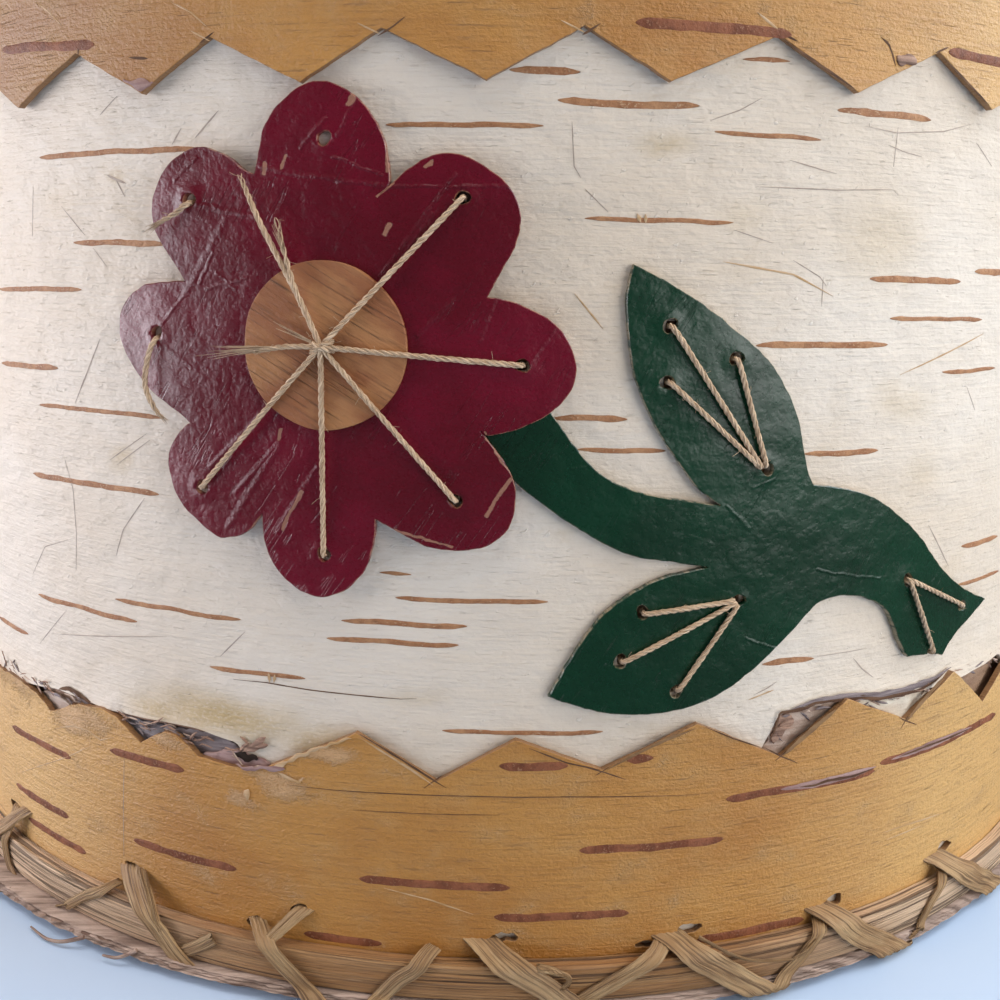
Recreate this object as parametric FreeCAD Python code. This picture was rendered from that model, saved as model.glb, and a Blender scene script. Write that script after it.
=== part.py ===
import FreeCAD, Part
import math
import os

# A round birch-bark box with a lift-off lid. The wall is a white sheet of bark over a lining
# sheet, with a golden band round its foot and another round its head, each cut to teeth. A
# painted flower and its stem are sewn on the front. Hoops of split wood hold the edges, and
# every edge is lashed with flat strips that cross over its hoop.
#
# Millimetres, +Z up. The origin is on the box's axis, on the surface that it stands on, and
# the flower faces -Y. A place on the wall is (along, up): along the bent bark from the middle
# of the front, positive towards +X, and up from the top edge of the base hoop.

os.makedirs("parts", exist_ok=True)
Vector = FreeCAD.Vector
ORIGIN = Vector(0, 0, 0)
UP = Vector(0, 0, 1)

# ---------------------------------------------------------------- driving dimensions
wall_radius = 110.0      # outside of the white sheet
wall_height = 152.0      # both sheets of the wall
outer_bark = 0.8         # white sheet
lining_bark = 1.6        # lining sheet
band_bark = 0.9          # golden bands
base_bark = 1.3          # disc under the wall
floor_bark = 1.0         # floor inside the wall
lid_bark = 1.0           # each disc of the lid
painted_bark = 0.8       # petals, stem and leaves
centre_bark = 0.6        # round centre of the flower
flange_bark = 1.4        # flange of the lid

hoop_height = 5.2
splint = 2.2             # hoop, from its inside to its outside
inner_splint = 1.8       # the same of the hoop inside the mouth
scarf_angle = 12.0       # degrees between a hoop's run and the cut of its joined ends

strip = 0.6              # thickness of the lashing strips
twine = 0.8              # diameter of the twine
snug = 0.1               # left between pieces that are sewn tight together
stand_in = 0.35          # how far the middle of a flat turn stands in from a hollow wall
lid_gap = 0.3            # between the resting lid and the rim
lid_clearance = 0.5      # between the lid's flange and the mouth
flange_depth = 18.0
seam_gap = 0.4           # between the two ends of a sheet

# ---------------------------------------------------------------- radii, from the wall out and in
lining_outer = wall_radius - outer_bark - snug
lining_inner = lining_outer - lining_bark
band_inner = wall_radius + snug
band_outer = band_inner + band_bark
hoop_inner = band_outer + snug
hoop_outer = hoop_inner + splint
mouth_hoop_outer = lining_inner - snug
mouth_hoop_inner = mouth_hoop_outer - inner_splint
layer = strip + snug     # room that one layer of lashing takes
mouth_radius = mouth_hoop_inner - layer - stand_in
flange_outer = mouth_radius - lid_clearance - layer
flange_inner = flange_outer - flange_bark

# ---------------------------------------------------------------- levels, from the foot up
base_floor = 2 * layer
floor_floor = base_floor + base_bark + snug
wall_foot = base_floor + base_bark + snug
hoop_top = wall_foot + hoop_height
wall_top = wall_foot + wall_height
rim_hoop_bottom = wall_top - hoop_height
lid_top_floor = wall_top + layer + lid_gap + layer
lid_surface = lid_top_floor + lid_bark
lid_under_floor = lid_top_floor - snug - lid_bark
lid_hoop_bottom = lid_surface + snug
lid_hoop_top = lid_hoop_bottom + hoop_height
flange_top = lid_under_floor - snug


# ---------------------------------------------------------------- helpers
def save(node, pieces):
    """Write one node: a solid, or a group of separate solids."""
    shape = pieces if isinstance(pieces, Part.Shape) else Part.Compound(pieces)
    shape.exportStep("parts/" + node + ".step")


def ring(inside, outside, low, high):
    """A plain upright ring."""
    outer = Part.makeCylinder(outside, high - low, Vector(0, 0, low))
    return outer.cut(Part.makeCylinder(inside, high - low, Vector(0, 0, low)))


def turned(shape, along):
    """A copy of a piece that was made at the middle of the front, moved along the wall."""
    copy = shape.copy()
    copy.rotate(ORIGIN, UP, math.degrees(along / wall_radius))
    return copy


def on_wall(along, up, radius):
    """The point over one place of the wall, at a radius."""
    angle = along / wall_radius
    return Vector(radius * math.sin(angle), -radius * math.cos(angle), hoop_top + up)


def stroke(points, middle=0.0):
    """One edge of an outline that is cut through the wall's face: straight, or curved."""
    flat = [
        Vector(wall_radius * math.sin((along - middle) / wall_radius), 0, hoop_top + up)
        for along, up in points
    ]
    if len(flat) == 2:
        return Part.makeLine(flat[0], flat[1])
    curve = Part.BSplineCurve()
    curve.interpolate(flat)
    return curve.toShape()


def through_wall(strokes, inside, outside, middle=0.0):
    """The solid that an outline cuts straight in from the front, between two radii."""
    face = Part.Face(Part.Wire([stroke(points, middle) for points in strokes]))
    face.translate(Vector(0, -inside, 0))
    return turned(face.extrude(Vector(0, inside - outside, 0)), middle)


def straight(points):
    """The strokes of a polygon."""
    return [list(pair) for pair in zip(points, points[1:] + points[:1])]


def grown(points, margin):
    """A polygon made larger all round by a margin."""
    face = Part.Face(Part.makePolygon([Vector(x, y, 0) for x, y in points + points[:1]]))
    wire = face.makeOffset2D(margin, 2).OuterWire
    return [(corner.X, corner.Y) for corner in wire.OrderedVertexes]


# ---------------------------------------------------------------- lashing
hole_lift = 1.0          # from a hoop's edge to the strips where they come out of the wall

turns_round = 26
first_turn = -2.6
uneven_turns = {-3: -1.4, -2: 2.4, -1: -0.8, 0: 3.6, 1: 2.0, 2: -3.0, 3: -3.7}
turn_pitch = 2 * math.pi * wall_radius / turns_round
turn_places = [
    first_turn + turn_pitch * count + uneven_turns.get(count, 0.0)
    for count in range(-(turns_round // 2), turns_round - turns_round // 2)
]

# A turn's outline, seen from outside: along from its hole, and up from the hoop's edge beside it.
over_turn = [(-2.2, 3.0), (2.2, 3.0), (15.0, -9.5), (8.6, -9.5)]
under_turn = [(-1.4, 2.3), (1.4, 2.3), (-7.2, -9.5), (-11.0, -9.5)]
awl_hole = [(-2.7, 0.8), (4.4, 0.8), (4.4, 2.65), (-2.7, 2.65)]
reach_in = 20.0          # how far in from the wall a cutting prism starts
reach_out = 20.0         # and how far out it ends


def spread(outline):
    """The middle of an outline, along the wall, and half its width."""
    alongs = [along for along, _ in outline]
    return (min(alongs) + max(alongs)) / 2, (max(alongs) - min(alongs)) / 2


def bend_room(outline):
    """How far a flat strip of this width stands in from the hollow side of the wall."""
    return lining_inner - math.sqrt(lining_inner ** 2 - spread(outline)[1] ** 2)


def wound(core, inner, outer, half, room):
    """A flat strip round a core, between two distances from it, across the middle of the front."""
    corners = [Vector(-half, -radius if radius > wall_radius else room - radius, level)
               for radius, level in core]
    face = Part.Face(Part.makePolygon(corners + corners[:1]))
    inside = Part.Face(face.makeOffset2D(inner, 2).OuterWire)
    outside = Part.Face(face.makeOffset2D(outer, 2).OuterWire)
    return outside.cut(inside).extrude(Vector(2 * half, 0, 0))


def closed_turn(core, start, outline):
    """One turn of strip round a core, whose hole in the wall is at the middle of the front."""
    middle, half = spread(outline)
    turn = wound(core, start, start + strip, half, bend_room(outline))
    return turned(turn, middle).common(seen(outline))


def room_for_turn(core, outline):
    """The space that one turn needs through the sheets that it passes."""
    middle, half = spread(outline)
    room = wound(core, snug / 2, layer + snug / 2, half + snug, bend_room(outline))
    return turned(room, middle).common(seen(grown(outline, snug)))


def seen(outline, inside=wall_radius - reach_in, outside=wall_radius + reach_out):
    """The prism of an outline, cut in towards the axis at the outline's own middle."""
    return through_wall(straight(outline), inside, outside, spread(outline)[0])


def lifted(outline, level):
    """An outline whose zero is moved to a level of the box."""
    return [(along, up + level - hoop_top) for along, up in outline]


def hanging(outline, level):
    """The same, upside down."""
    return [(along, level - up - hoop_top) for along, up in outline]


def all_places(shape, places):
    return [turned(shape, place) for place in places]


base_core = [
    (lining_inner, base_floor),
    (hoop_outer, base_floor),
    (hoop_outer, hoop_top),
    (band_outer, hoop_top + hole_lift),
    (lining_inner, hoop_top + hole_lift),
]
rim_core = [
    (mouth_hoop_inner, wall_top),
    (mouth_hoop_inner, rim_hoop_bottom - hole_lift),
    (band_outer, rim_hoop_bottom - hole_lift),
    (hoop_outer, rim_hoop_bottom),
    (hoop_outer, wall_top),
]
rim_turn = hanging(over_turn, rim_hoop_bottom)
save("base_over_turns", all_places(closed_turn(base_core, snug + layer, over_turn), turn_places))
save("base_under_turns", all_places(closed_turn(base_core, snug, under_turn), turn_places))
save("rim_turns", all_places(closed_turn(rim_core, snug, rim_turn), turn_places))

awl_holes = all_places(seen(awl_hole), turn_places)
awl_holes += all_places(seen(hanging(awl_hole, rim_hoop_bottom)), turn_places)


# ---------------------------------------------------------------- hoops
def hoop(inside, thickness, low):
    """A hoop of split wood, whose two ends are cut slanting and joined at the back."""
    saw = Part.makeBox(8 * thickness / math.sin(math.radians(scarf_angle)), snug, 2 * hoop_height)
    saw.translate(Vector(-saw.BoundBox.XLength / 2, -snug / 2, 0))
    saw.rotate(ORIGIN, UP, scarf_angle)
    saw.translate(Vector(0, inside + thickness / 2, low - hoop_height / 2))
    ends = ring(inside, inside + thickness, low, low + hoop_height).cut(saw)
    return max(ends.Solids, key=lambda solid: solid.Volume)


save("base_hoop", hoop(hoop_inner, splint, wall_foot))
save("rim_outer_hoop", hoop(hoop_inner, splint, rim_hoop_bottom))
save("rim_inner_hoop", hoop(mouth_hoop_inner, inner_splint, rim_hoop_bottom))

# ---------------------------------------------------------------- base disc and floor
overhang = 1.8           # of the base disc past the hoop, on average
lean = 0.9               # how much further the base disc reaches on its left
ripple = 0.45            # waves of its knife-cut edge
knife_cuts = 60


def base_disc():
    """A disc of bark that is trimmed round its edge by many short cuts."""
    corners = []
    for count in range(knife_cuts):
        angle = 2 * math.pi * count / knife_cuts
        reach = hoop_outer + overhang - lean * math.sin(angle)
        reach += ripple * (math.sin(3 * angle + 1) + math.sin(8 * angle)) / 2
        corners.append(Vector(reach * math.sin(angle), -reach * math.cos(angle), base_floor))
    return Part.Face(Part.makePolygon(corners + corners[:1])).extrude(Vector(0, 0, base_bark))


def passages(outline, inside, outside):
    """The cuts in a disc for all the turns of one outline, between two radii."""
    return all_places(seen(grown(outline, snug), inside, outside), turn_places)


turn_room = []
for outline in (over_turn, under_turn):
    wall_side = lining_inner - bend_room(outline)
    turn_room += passages(outline, hoop_outer, hoop_outer + reach_out)
    turn_room += passages(outline, wall_side - 2 * layer - snug, wall_side)
floor_radius = lining_inner - stand_in - 2 * layer - 2 * snug
save("base_disc", base_disc().cut(turn_room))
save("base_floor", Part.makeCylinder(floor_radius, floor_bark, Vector(0, 0, floor_floor)))

# ---------------------------------------------------------------- flower, stem and their stitches
# Each petal runs clockwise from the notch before it to the notch after it.
petals = [
    [(-29.2, 99.0), (-27.7, 104.5), (-22.4, 108.8), (-16.5, 106.9), (-13.6, 102.0), (-13.3, 97.7)],
    [(-13.3, 97.7), (-9.7, 100.4), (-4.9, 101.0), (0.5, 97.3), (1.2, 91.6), (-2.0, 85.5)],
    [(-2.0, 85.5), (3.9, 83.7), (8.3, 77.8), (3.9, 71.2), (-2.3, 69.6)],
    [(-2.3, 69.6), (1.6, 63.0), (-2.4, 55.7), (-8.8, 55.7), (-15.0, 58.8)],
    [(-15.0, 58.8), (-16.5, 52.2), (-22.8, 48.6), (-27.7, 51.7), (-29.5, 58.6)],
    [(-29.5, 58.6), (-32.5, 55.6), (-38.6, 56.9), (-42.6, 64.5), (-39.0, 69.3)],
    [(-39.0, 69.3), (-45.0, 73.2), (-49.4, 79.8), (-45.0, 86.1), (-39.0, 86.7)],
    [(-39.0, 86.7), (-43.1, 92.6), (-42.4, 98.0), (-38.3, 101.7), (-33.0, 101.2), (-29.2, 99.0)],
]
petal_holes = {
    "north": (-20.6, 102.8), "north_east": (-5.1, 96.3), "east": (1.9, 77.8),
    "south_east": (-5.5, 61.7), "south": (-21.4, 54.4), "south_west": (-37.3, 62.0),
    "west": (-43.4, 80.3), "north_west": (-37.8, 96.1),
}
flower_middle = (-21.0, 79.4)
centre_radius = 10.1

# One sheet makes the stem and both leaves. Each stroke ends at a corner of the outline.
stem_outline = [
    [(14.8, 89.5), (24.1, 84.6), (32.3, 78.6), (37.2, 71.1), (40.2, 62.7)],
    [(40.2, 62.7), (47.0, 61.5), (54.7, 57.8), (62.7, 51.3), (68.6, 46.7), (77.9, 42.5)],
    [(77.9, 42.5), (73.4, 40.1), (69.7, 38.1), (67.5, 35.8)],
    [(67.5, 35.8), (59.5, 37.0)],
    [(59.5, 37.0), (55.7, 42.5), (51.3, 46.3), (44.9, 47.5), (39.4, 44.3), (32.8, 38.5),
     (25.7, 34.7), (18.0, 33.7), (6.2, 36.4)],
    [(6.2, 36.4), (10.5, 44.1), (15.9, 49.5), (21.7, 52.2), (26.0, 52.8)],
    [(26.0, 52.8), (20.8, 53.9), (10.9, 57.0), (1.7, 63.6), (-3.5, 68.8)],
    [(-3.5, 68.8), (3.0, 74.8)],
    [(3.0, 74.8), (8.2, 68.6), (14.2, 63.4), (27.1, 60.6)],
    [(27.1, 60.6), (18.6, 70.0), (14.4, 82.1), (14.8, 89.5)],
]
stem_middle = 38.0
upper_leaf_holes = [(20.0, 82.2), (27.9, 78.5), (20.1, 75.7)]
upper_leaf_gather = (32.7, 65.2)
lower_leaf_holes = [(18.0, 47.1), (15.8, 41.0), (22.8, 36.9)]
lower_leaf_gather = (29.8, 48.1)
stem_end_holes = [(70.7, 42.8), (64.5, 37.6)]
stem_end_gather = (58.0, 48.1)
hole_width = 1.6
gather_hole_width = 2.4
knot_reach = 1.4         # from the knot's middle to the ends of its two crossed passes

stem_inner = wall_radius + snug
stem_outer = stem_inner + painted_bark
petals_inner = stem_outer + snug
petals_outer = petals_inner + painted_bark
centre_inner = petals_outer + snug
centre_outer = centre_inner + centre_bark


def painted(strokes, middle, inside, thickness):
    """A piece of bark cut to an outline and bent to the wall."""
    prism = through_wall(strokes, wall_radius - reach_in, wall_radius + reach_out, middle)
    return prism.common(ring(inside, inside + thickness, hoop_top, wall_top))


def pricked(place, width):
    """A square awl hole through the front of the wall, as a cutting tool."""
    along, up = place
    half = width / 2
    corners = [(along - half, up - half), (along + half, up - half), (along + half, up + half),
               (along - half, up + half)]
    return through_wall(straight(corners), lining_outer - snug, wall_radius + reach_out, along)


def flat_face(corners):
    return Part.Face(Part.makePolygon(corners + corners[:1]))


def twine_along(path):
    """Six-sided twine along straight runs, mitred where it bends."""
    runs = [(end - start).normalize() for start, end in zip(path, path[1:])]
    across = runs[0].cross(UP).normalize()
    beside = runs[0].cross(across)
    corners = []
    for side in range(6):
        angle = math.pi * side / 3
        corners.append(path[0] + (across * math.cos(angle) + beside * math.sin(angle)) * (twine / 2))
    sections = [corners]
    for point, run, following in zip(path[1:], runs, runs[1:] + runs[-1:]):
        mitre = run + following
        corners = [corner + run * ((point - corner).dot(mitre) / run.dot(mitre)) for corner in corners]
        sections.append(corners)
    faces = [flat_face(sections[0]), flat_face(sections[-1])]
    for near, far in zip(sections, sections[1:]):
        faces += [flat_face([near[side], near[side - 1], far[side - 1], far[side]]) for side in range(6)]
    return Part.makeSolid(Part.makeShell(faces))


def between(first, second, share):
    return tuple(start + share * (end - start) for start, end in zip(first, second))


def stitch(hole, gather, bed):
    """A tight stitch over the bark, that goes down through it at both ends."""
    root = wall_radius - outer_bark
    over = bed + twine / 2 + snug
    middle = between(hole, gather, 0.5)
    return twine_along([on_wall(*hole, root), on_wall(*hole, over), on_wall(*middle, over),
                        on_wall(*gather, over), on_wall(*gather, root)])


def knot_stitch(hole):
    """A stitch from a petal's hole up over the flower's centre to its knot."""
    over = petals_outer + twine / 2 + snug
    crest = centre_outer + twine / 2 + snug
    edge = between(flower_middle, hole, (centre_radius + 0.5) / math.dist(hole, flower_middle))
    return twine_along([on_wall(*hole, wall_radius - outer_bark), on_wall(*hole, over),
                        on_wall(*edge, crest), on_wall(*flower_middle, crest)])


def knot():
    """The knot over the flower's centre: two short passes that cross."""
    crest = centre_outer + twine / 2 + snug
    along, up = flower_middle
    passes = []
    for lean in (-0.5, 0.5):
        ends = [on_wall(along + side * knot_reach, up + side * lean * knot_reach, crest) for side in (-1, 1)]
        passes.append(twine_along([ends[0], on_wall(along, up, crest + twine), ends[1]]))
    return passes


def sewn(stitches):
    """The passes of one twine, joined where they meet."""
    return stitches[0].multiFuse(stitches[1:]).removeSplitter()


centre_start = Vector(0, reach_in - wall_radius, hoop_top + flower_middle[1])
centre_edge = Part.makeCylinder(centre_radius, reach_in + reach_out, centre_start, Vector(0, -1, 0))
centre = turned(centre_edge, flower_middle[0]).common(ring(centre_inner, centre_outer, hoop_top, wall_top))
stem = painted(stem_outline, stem_middle, stem_inner, painted_bark)
flower = painted(petals, flower_middle[0], petals_inner, painted_bark)

sewn_petals = ["north_east", "east", "south_east", "south", "south_west"]
small_holes = list(petal_holes.values()) + upper_leaf_holes + lower_leaf_holes + stem_end_holes
gather_holes = [upper_leaf_gather, lower_leaf_gather, stem_end_gather]
sewing_holes = [pricked(place, hole_width) for place in small_holes]
sewing_holes += [pricked(place, gather_hole_width) for place in gather_holes]

save("flower_petals", flower.cut(sewing_holes))
save("flower_centre", centre)
save("stem_and_leaves", stem.cut(sewing_holes))
save("petal_stitches", sewn(knot() + [knot_stitch(petal_holes[name]) for name in sewn_petals]))
save("upper_leaf_stitches", sewn([stitch(hole, upper_leaf_gather, stem_outer) for hole in upper_leaf_holes]))
save("lower_leaf_stitches", sewn([stitch(hole, lower_leaf_gather, stem_outer) for hole in lower_leaf_holes]))
save("stem_end_stitches", sewn([stitch(hole, stem_end_gather, stem_outer) for hole in stem_end_holes]))

# ---------------------------------------------------------------- bands with cut teeth
tooth_pitch = 22.0
wedge_rise = 1.5         # a notch's cutter goes on past the tips by this share of its height
lower_valley = 25.4
lower_tooth = 7.0        # from the valleys to the tips
upper_tip = 109.2
upper_tooth = 5.7
lower_tip = lower_valley + lower_tooth
upper_valley = upper_tip + upper_tooth


def raised(points, level):
    """Points whose second number counts from a level of the wall."""
    return [(along, up + level) for along, up in points]


# The teeth round the front are uneven. Tips and valleys take turns, from left to right.
lower_tips = raised([(-80.1, 0.3), (-59.6, 0.0), (-40.7, -0.1), (-17.9, -1.8), (2.3, -1.6),
                     (25.6, -0.3), (48.3, 0.4), (70.4, 0.4)], lower_tip)
lower_valleys = raised([(-70.0, -0.8), (-50.1, -0.6), (-29.9, -0.8), (-7.6, -0.7), (13.4, 1.0),
                        (38.3, 0.6), (60.2, 2.3)], lower_valley)
upper_tips = raised([(-66.8, -0.9), (-44.6, -0.6), (-23.6, -0.2), (-2.5, 0.0), (18.1, 0.4),
                     (41.8, 0.7), (65.0, 0.8)], upper_tip)
upper_valleys = raised([(-55.2, -1.0), (-35.0, -0.6), (-14.2, -0.3), (8.2, 0.1), (30.9, 0.4),
                        (54.3, 0.8)], upper_valley)
# Three teeth of the lower band are worn down: what is gone, above these lines.
worn_teeth = [
    raised([(-87.7, 2.3), (-83.2, 1.6), (-74.9, 2.0), (-73.3, 1.8)], lower_valley),
    raised([(-66.1, 2.1), (-61.2, 1.8), (-55.8, 2.3), (-53.8, 2.4)], lower_valley),
    raised([(-47.2, 1.7), (-42.7, 0.7), (-39.2, -0.9), (-30.0, -1.1)], lower_valley),
]


def all_round(tips, valleys, tip, valley):
    """The notches between teeth: those of the front, then an even row round the back."""
    notches = [(left, bottom, right) for left, bottom, right in zip(tips, valleys, tips[1:])]
    start, end = tips[-1][0], tips[0][0] + 2 * math.pi * wall_radius
    count = round((end - start) / tooth_pitch)
    step = (end - start) / count
    for number in range(count):
        left = (start + step * number, tips[-1][1] if number == 0 else tip)
        right = (start + step * (number + 1), tips[0][1] if number == count - 1 else tip)
        notches.append((left, (left[0] + step / 2, valley), right))
    return notches


def notch_cutter(left, bottom, right):
    """A prism between two tips that narrows to the valley and goes on past the tips."""
    triangle = [between(bottom, left, wedge_rise), bottom, between(bottom, right, wedge_rise)]
    return through_wall(straight(triangle), wall_radius - reach_in, wall_radius + reach_out, bottom[0])


def worn_cutter(line):
    """What wear has taken from one tooth."""
    top = lower_tip + 2 * lower_tooth
    return seen(line + [(line[-1][0], top), (line[0][0], top)])


def back_slit(inside, outside, offset=0.0):
    """The gap between the two ends of a sheet, at the back of the box."""
    corner = Vector(-seam_gap / 2, inside - 1, wall_foot - 1)
    return turned(Part.makeBox(seam_gap, outside - inside + 2, wall_height + 2, corner), offset)


def band(notches, low, high):
    """A golden band with its teeth cut and its ends at the back."""
    blank = ring(band_inner, band_outer, low, high)
    return blank.cut([notch_cutter(*notch) for notch in notches] + [back_slit(band_inner, band_outer)])


lower_top = hoop_top + max(up for _, up in lower_tips)
upper_low = hoop_top + min(up for _, up in upper_tips)
lower_band = band(all_round(lower_tips, lower_valleys, lower_tip, lower_valley), wall_foot, lower_top)
upper_band = band(all_round(upper_tips, upper_valleys, upper_tip, upper_valley), upper_low, wall_top)
lower_band = lower_band.cut([worn_cutter(line) for line in worn_teeth])

# ---------------------------------------------------------------- wall and the lacing of its seam
lacing_reach = 5.0       # from the seam to the holes beside it
lacing_width = 2.4
lacing_slant = 18.0
lacing_rows = 6          # on the white sheet
lacing_margin = 7.0      # from the teeth to the first and last of them
band_rows = [10.0, 19.0]  # on each band, up from its hoop
lining_seam = 25.0       # from the white sheet's seam to the lining's

# The white sheet is torn along two stretches of the lower band's teeth. What is gone, under these lines.
torn_foot = -4.2
torn_floor = lower_valley - 9.6
torn_edges = [
    raised([(-97.0, torn_foot), (-88.9, 0.7), (-77.0, 1.0), (-68.9, 2.2), (-57.0, 1.9), (-42.0, 2.4),
            (-35.0, 1.3), (-32.5, torn_foot)], lower_valley),
    raised([(33.5, torn_foot), (35.9, 2.2), (37.8, 6.3), (46.2, 7.4), (54.4, 6.3), (62.5, 5.6),
            (76.9, 5.7), (87.5, 6.3), (97.0, torn_foot)], lower_valley),
]


def slanted(shape, level):
    """A piece of the lacing, tilted and lifted to its row."""
    shape.rotate(ORIGIN, Vector(0, 1, 0), lacing_slant)
    shape.translate(Vector(0, 0, level))
    return shape


def lacing_turn(outside, level):
    """One closed turn of flat strip across the seam, through the holes beside it."""
    near = lining_inner - snug - stand_in
    far = outside + snug
    half = lacing_width / 2
    inner = Part.makeBox(2 * lacing_reach, far - near, lacing_width, Vector(-lacing_reach, near, -half))
    outer = Part.makeBox(2 * (lacing_reach + strip), far - near + 2 * strip, lacing_width,
                         Vector(-lacing_reach - strip, near - strip, -half))
    return slanted(outer.cut(inner), level)


def lacing_hole(side, level):
    """The room for a turn of lacing where it goes through the sheets, as a cutting tool."""
    width = strip + 2 * snug
    low = Vector(side * (lacing_reach + strip / 2) - width / 2, lining_inner - 2, -lacing_width / 2 - snug)
    return slanted(Part.makeBox(width, reach_out, lacing_width + 2 * snug, low), level)


first_row = hoop_top + lower_tip + lacing_margin
last_row = hoop_top + upper_tip - lacing_margin
row_step = (last_row - first_row) / (lacing_rows - 1)
lacing = [(wall_radius, first_row + row_step * row) for row in range(lacing_rows)]
lacing += [(band_outer, hoop_top + row) for row in band_rows]
lacing += [(band_outer, rim_hoop_bottom - row) for row in band_rows]
lacing_room = [lacing_hole(side, level) for _, level in lacing for side in (-1, 1)]
save("wall_seam_lacing", [lacing_turn(outside, level) for outside, level in lacing])

torn = [seen(edge + [(edge[-1][0], torn_floor), (edge[0][0], torn_floor)]) for edge in torn_edges]
torn.append(back_slit(lining_outer, wall_radius))
white_sheet = ring(wall_radius - outer_bark, wall_radius, wall_foot, wall_top)
white_sheet = white_sheet.cut(awl_holes + sewing_holes + lacing_room + torn)
lining = ring(lining_inner, lining_outer, wall_foot, wall_top)
lining = lining.cut(awl_holes + lacing_room + [back_slit(lining_inner, lining_outer, lining_seam)])
save("outer_wall", white_sheet)
save("inner_wall", lining)
save("lower_band", lower_band.cut(awl_holes + lacing_room))
save("upper_band", upper_band.cut(awl_holes + lacing_room))

# ---------------------------------------------------------------- lid
lid_inset = 4.0          # from the lid's hoop in to the holes of its lashing
flange_hole_drop = 3.5   # from the flange's top edge down to its holes
flange_stitch_width = 2.2
flange_stitches = 12
lid_turn = [(-5.2, 9.0), (-0.4, 9.0), (6.0, -4.0), (1.2, -4.0)]
handle_span = 52.0
handle_rise = 18.0       # room for a finger under the handle
handle_bark = 1.6
handle_width = 9.0
handle_tab = 10.0        # length of each end, folded in under the lid

lid_core = [
    (hoop_inner - lid_inset, lid_top_floor),
    (hoop_outer, lid_top_floor),
    (hoop_outer, lid_hoop_top),
    (hoop_inner, lid_hoop_top),
    (hoop_inner - lid_inset, lid_surface),
]
flange_core = [
    (flange_inner, flange_top - flange_hole_drop),
    (flange_outer, flange_top - flange_hole_drop),
    (flange_outer, lid_surface),
    (flange_inner, lid_surface),
]
half_stitch = flange_stitch_width / 2
flange_stitch = [(-half_stitch, -2 * flange_hole_drop), (half_stitch, -2 * flange_hole_drop),
                 (half_stitch, hoop_height), (-half_stitch, hoop_height)]
stitch_places = [2 * math.pi * wall_radius * count / flange_stitches for count in range(flange_stitches)]
lid_holes = []
for node, core, outline, places in (
    ("lid_edge_turns", lid_core, lifted(lid_turn, lid_hoop_bottom), turn_places),
    ("lid_flange_stitches", flange_core, lifted(flange_stitch, lid_under_floor), stitch_places),
):
    save(node, all_places(closed_turn(core, snug, outline), places))
    lid_holes += all_places(room_for_turn(core, outline), places)


def handle():
    """A strap bent to an arch, whose ends go down through the lid and are folded in under it."""
    outside = handle_span / 2
    inside = outside - handle_bark
    folded = lid_under_floor - snug - handle_bark
    crest = lid_surface + handle_rise
    right = [(outside, lid_surface), (outside, folded), (inside - handle_tab, folded),
             (inside - handle_tab, folded + handle_bark), (inside, folded + handle_bark),
             (inside, lid_surface)]
    right = [Vector(x, 0, z) for x, z in right]
    left = [Vector(-point.x, 0, point.z) for point in right]
    over = Part.Arc(left[0], Vector(0, 0, crest + handle_bark), right[0]).toShape()
    under = Part.Arc(right[-1], Vector(0, 0, crest), left[-1]).toShape()
    edges = [over] + Part.makePolygon(right).Edges + [under] + Part.makePolygon(left[::-1]).Edges
    profile = Part.Face(Part.Wire(Part.__sortEdges__(edges)))
    profile.translate(Vector(0, -handle_width / 2, 0))
    return profile.extrude(Vector(0, handle_width, 0))


slot_width = handle_bark + 2 * snug
slots = [
    Part.makeBox(slot_width, handle_width + 2 * snug, hoop_height,
                 Vector(middle - slot_width / 2, -handle_width / 2 - snug, lid_under_floor))
    for middle in (handle_bark / 2 - handle_span / 2, handle_span / 2 - handle_bark / 2)
]
for node, radius, low in (
    ("lid_under_disc", flange_outer, lid_under_floor),
    ("lid_top_disc", hoop_outer, lid_top_floor),
):
    disc = Part.makeCylinder(radius, lid_bark, Vector(0, 0, low))
    save(node, disc.cut(lid_holes + slots))
save("lid_hoop", hoop(hoop_inner, splint, lid_hoop_bottom))
save("lid_flange", ring(flange_inner, flange_outer, flange_top - flange_depth, flange_top).cut(lid_holes))
save("lid_handle", handle())
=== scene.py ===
# %% [markdown]
# # A birch bark box
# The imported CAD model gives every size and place. This script dresses it: it swaps the plain
# strips, twine and painted sheets for detailed ones, adds the marks that bark has, and lights
# the box softly from both sides.
#
# Lengths are millimetres until a mesh is made. A place on the wall is (along, up): along the
# bent bark from the middle of the front, and up from the top edge of the base hoop.

# %% Setup
import math
import random

import bmesh
import bpy
from mathutils import Matrix, Vector, geometry, noise


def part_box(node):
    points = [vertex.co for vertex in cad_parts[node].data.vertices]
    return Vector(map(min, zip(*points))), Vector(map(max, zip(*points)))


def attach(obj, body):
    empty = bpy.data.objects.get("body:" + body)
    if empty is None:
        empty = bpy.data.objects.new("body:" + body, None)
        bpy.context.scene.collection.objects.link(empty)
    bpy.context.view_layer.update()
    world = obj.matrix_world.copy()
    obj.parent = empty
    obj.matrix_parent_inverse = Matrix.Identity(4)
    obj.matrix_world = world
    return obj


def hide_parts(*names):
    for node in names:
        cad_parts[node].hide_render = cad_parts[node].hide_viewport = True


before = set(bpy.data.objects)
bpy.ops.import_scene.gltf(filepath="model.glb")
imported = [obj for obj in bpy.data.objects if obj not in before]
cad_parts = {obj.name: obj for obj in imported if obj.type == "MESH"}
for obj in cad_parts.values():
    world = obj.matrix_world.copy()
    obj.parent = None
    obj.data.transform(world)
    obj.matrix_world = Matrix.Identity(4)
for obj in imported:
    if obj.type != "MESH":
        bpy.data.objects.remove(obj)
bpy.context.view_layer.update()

MM = 0.001
UP = Vector((0, 0, 1))
scene = bpy.context.scene


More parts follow.
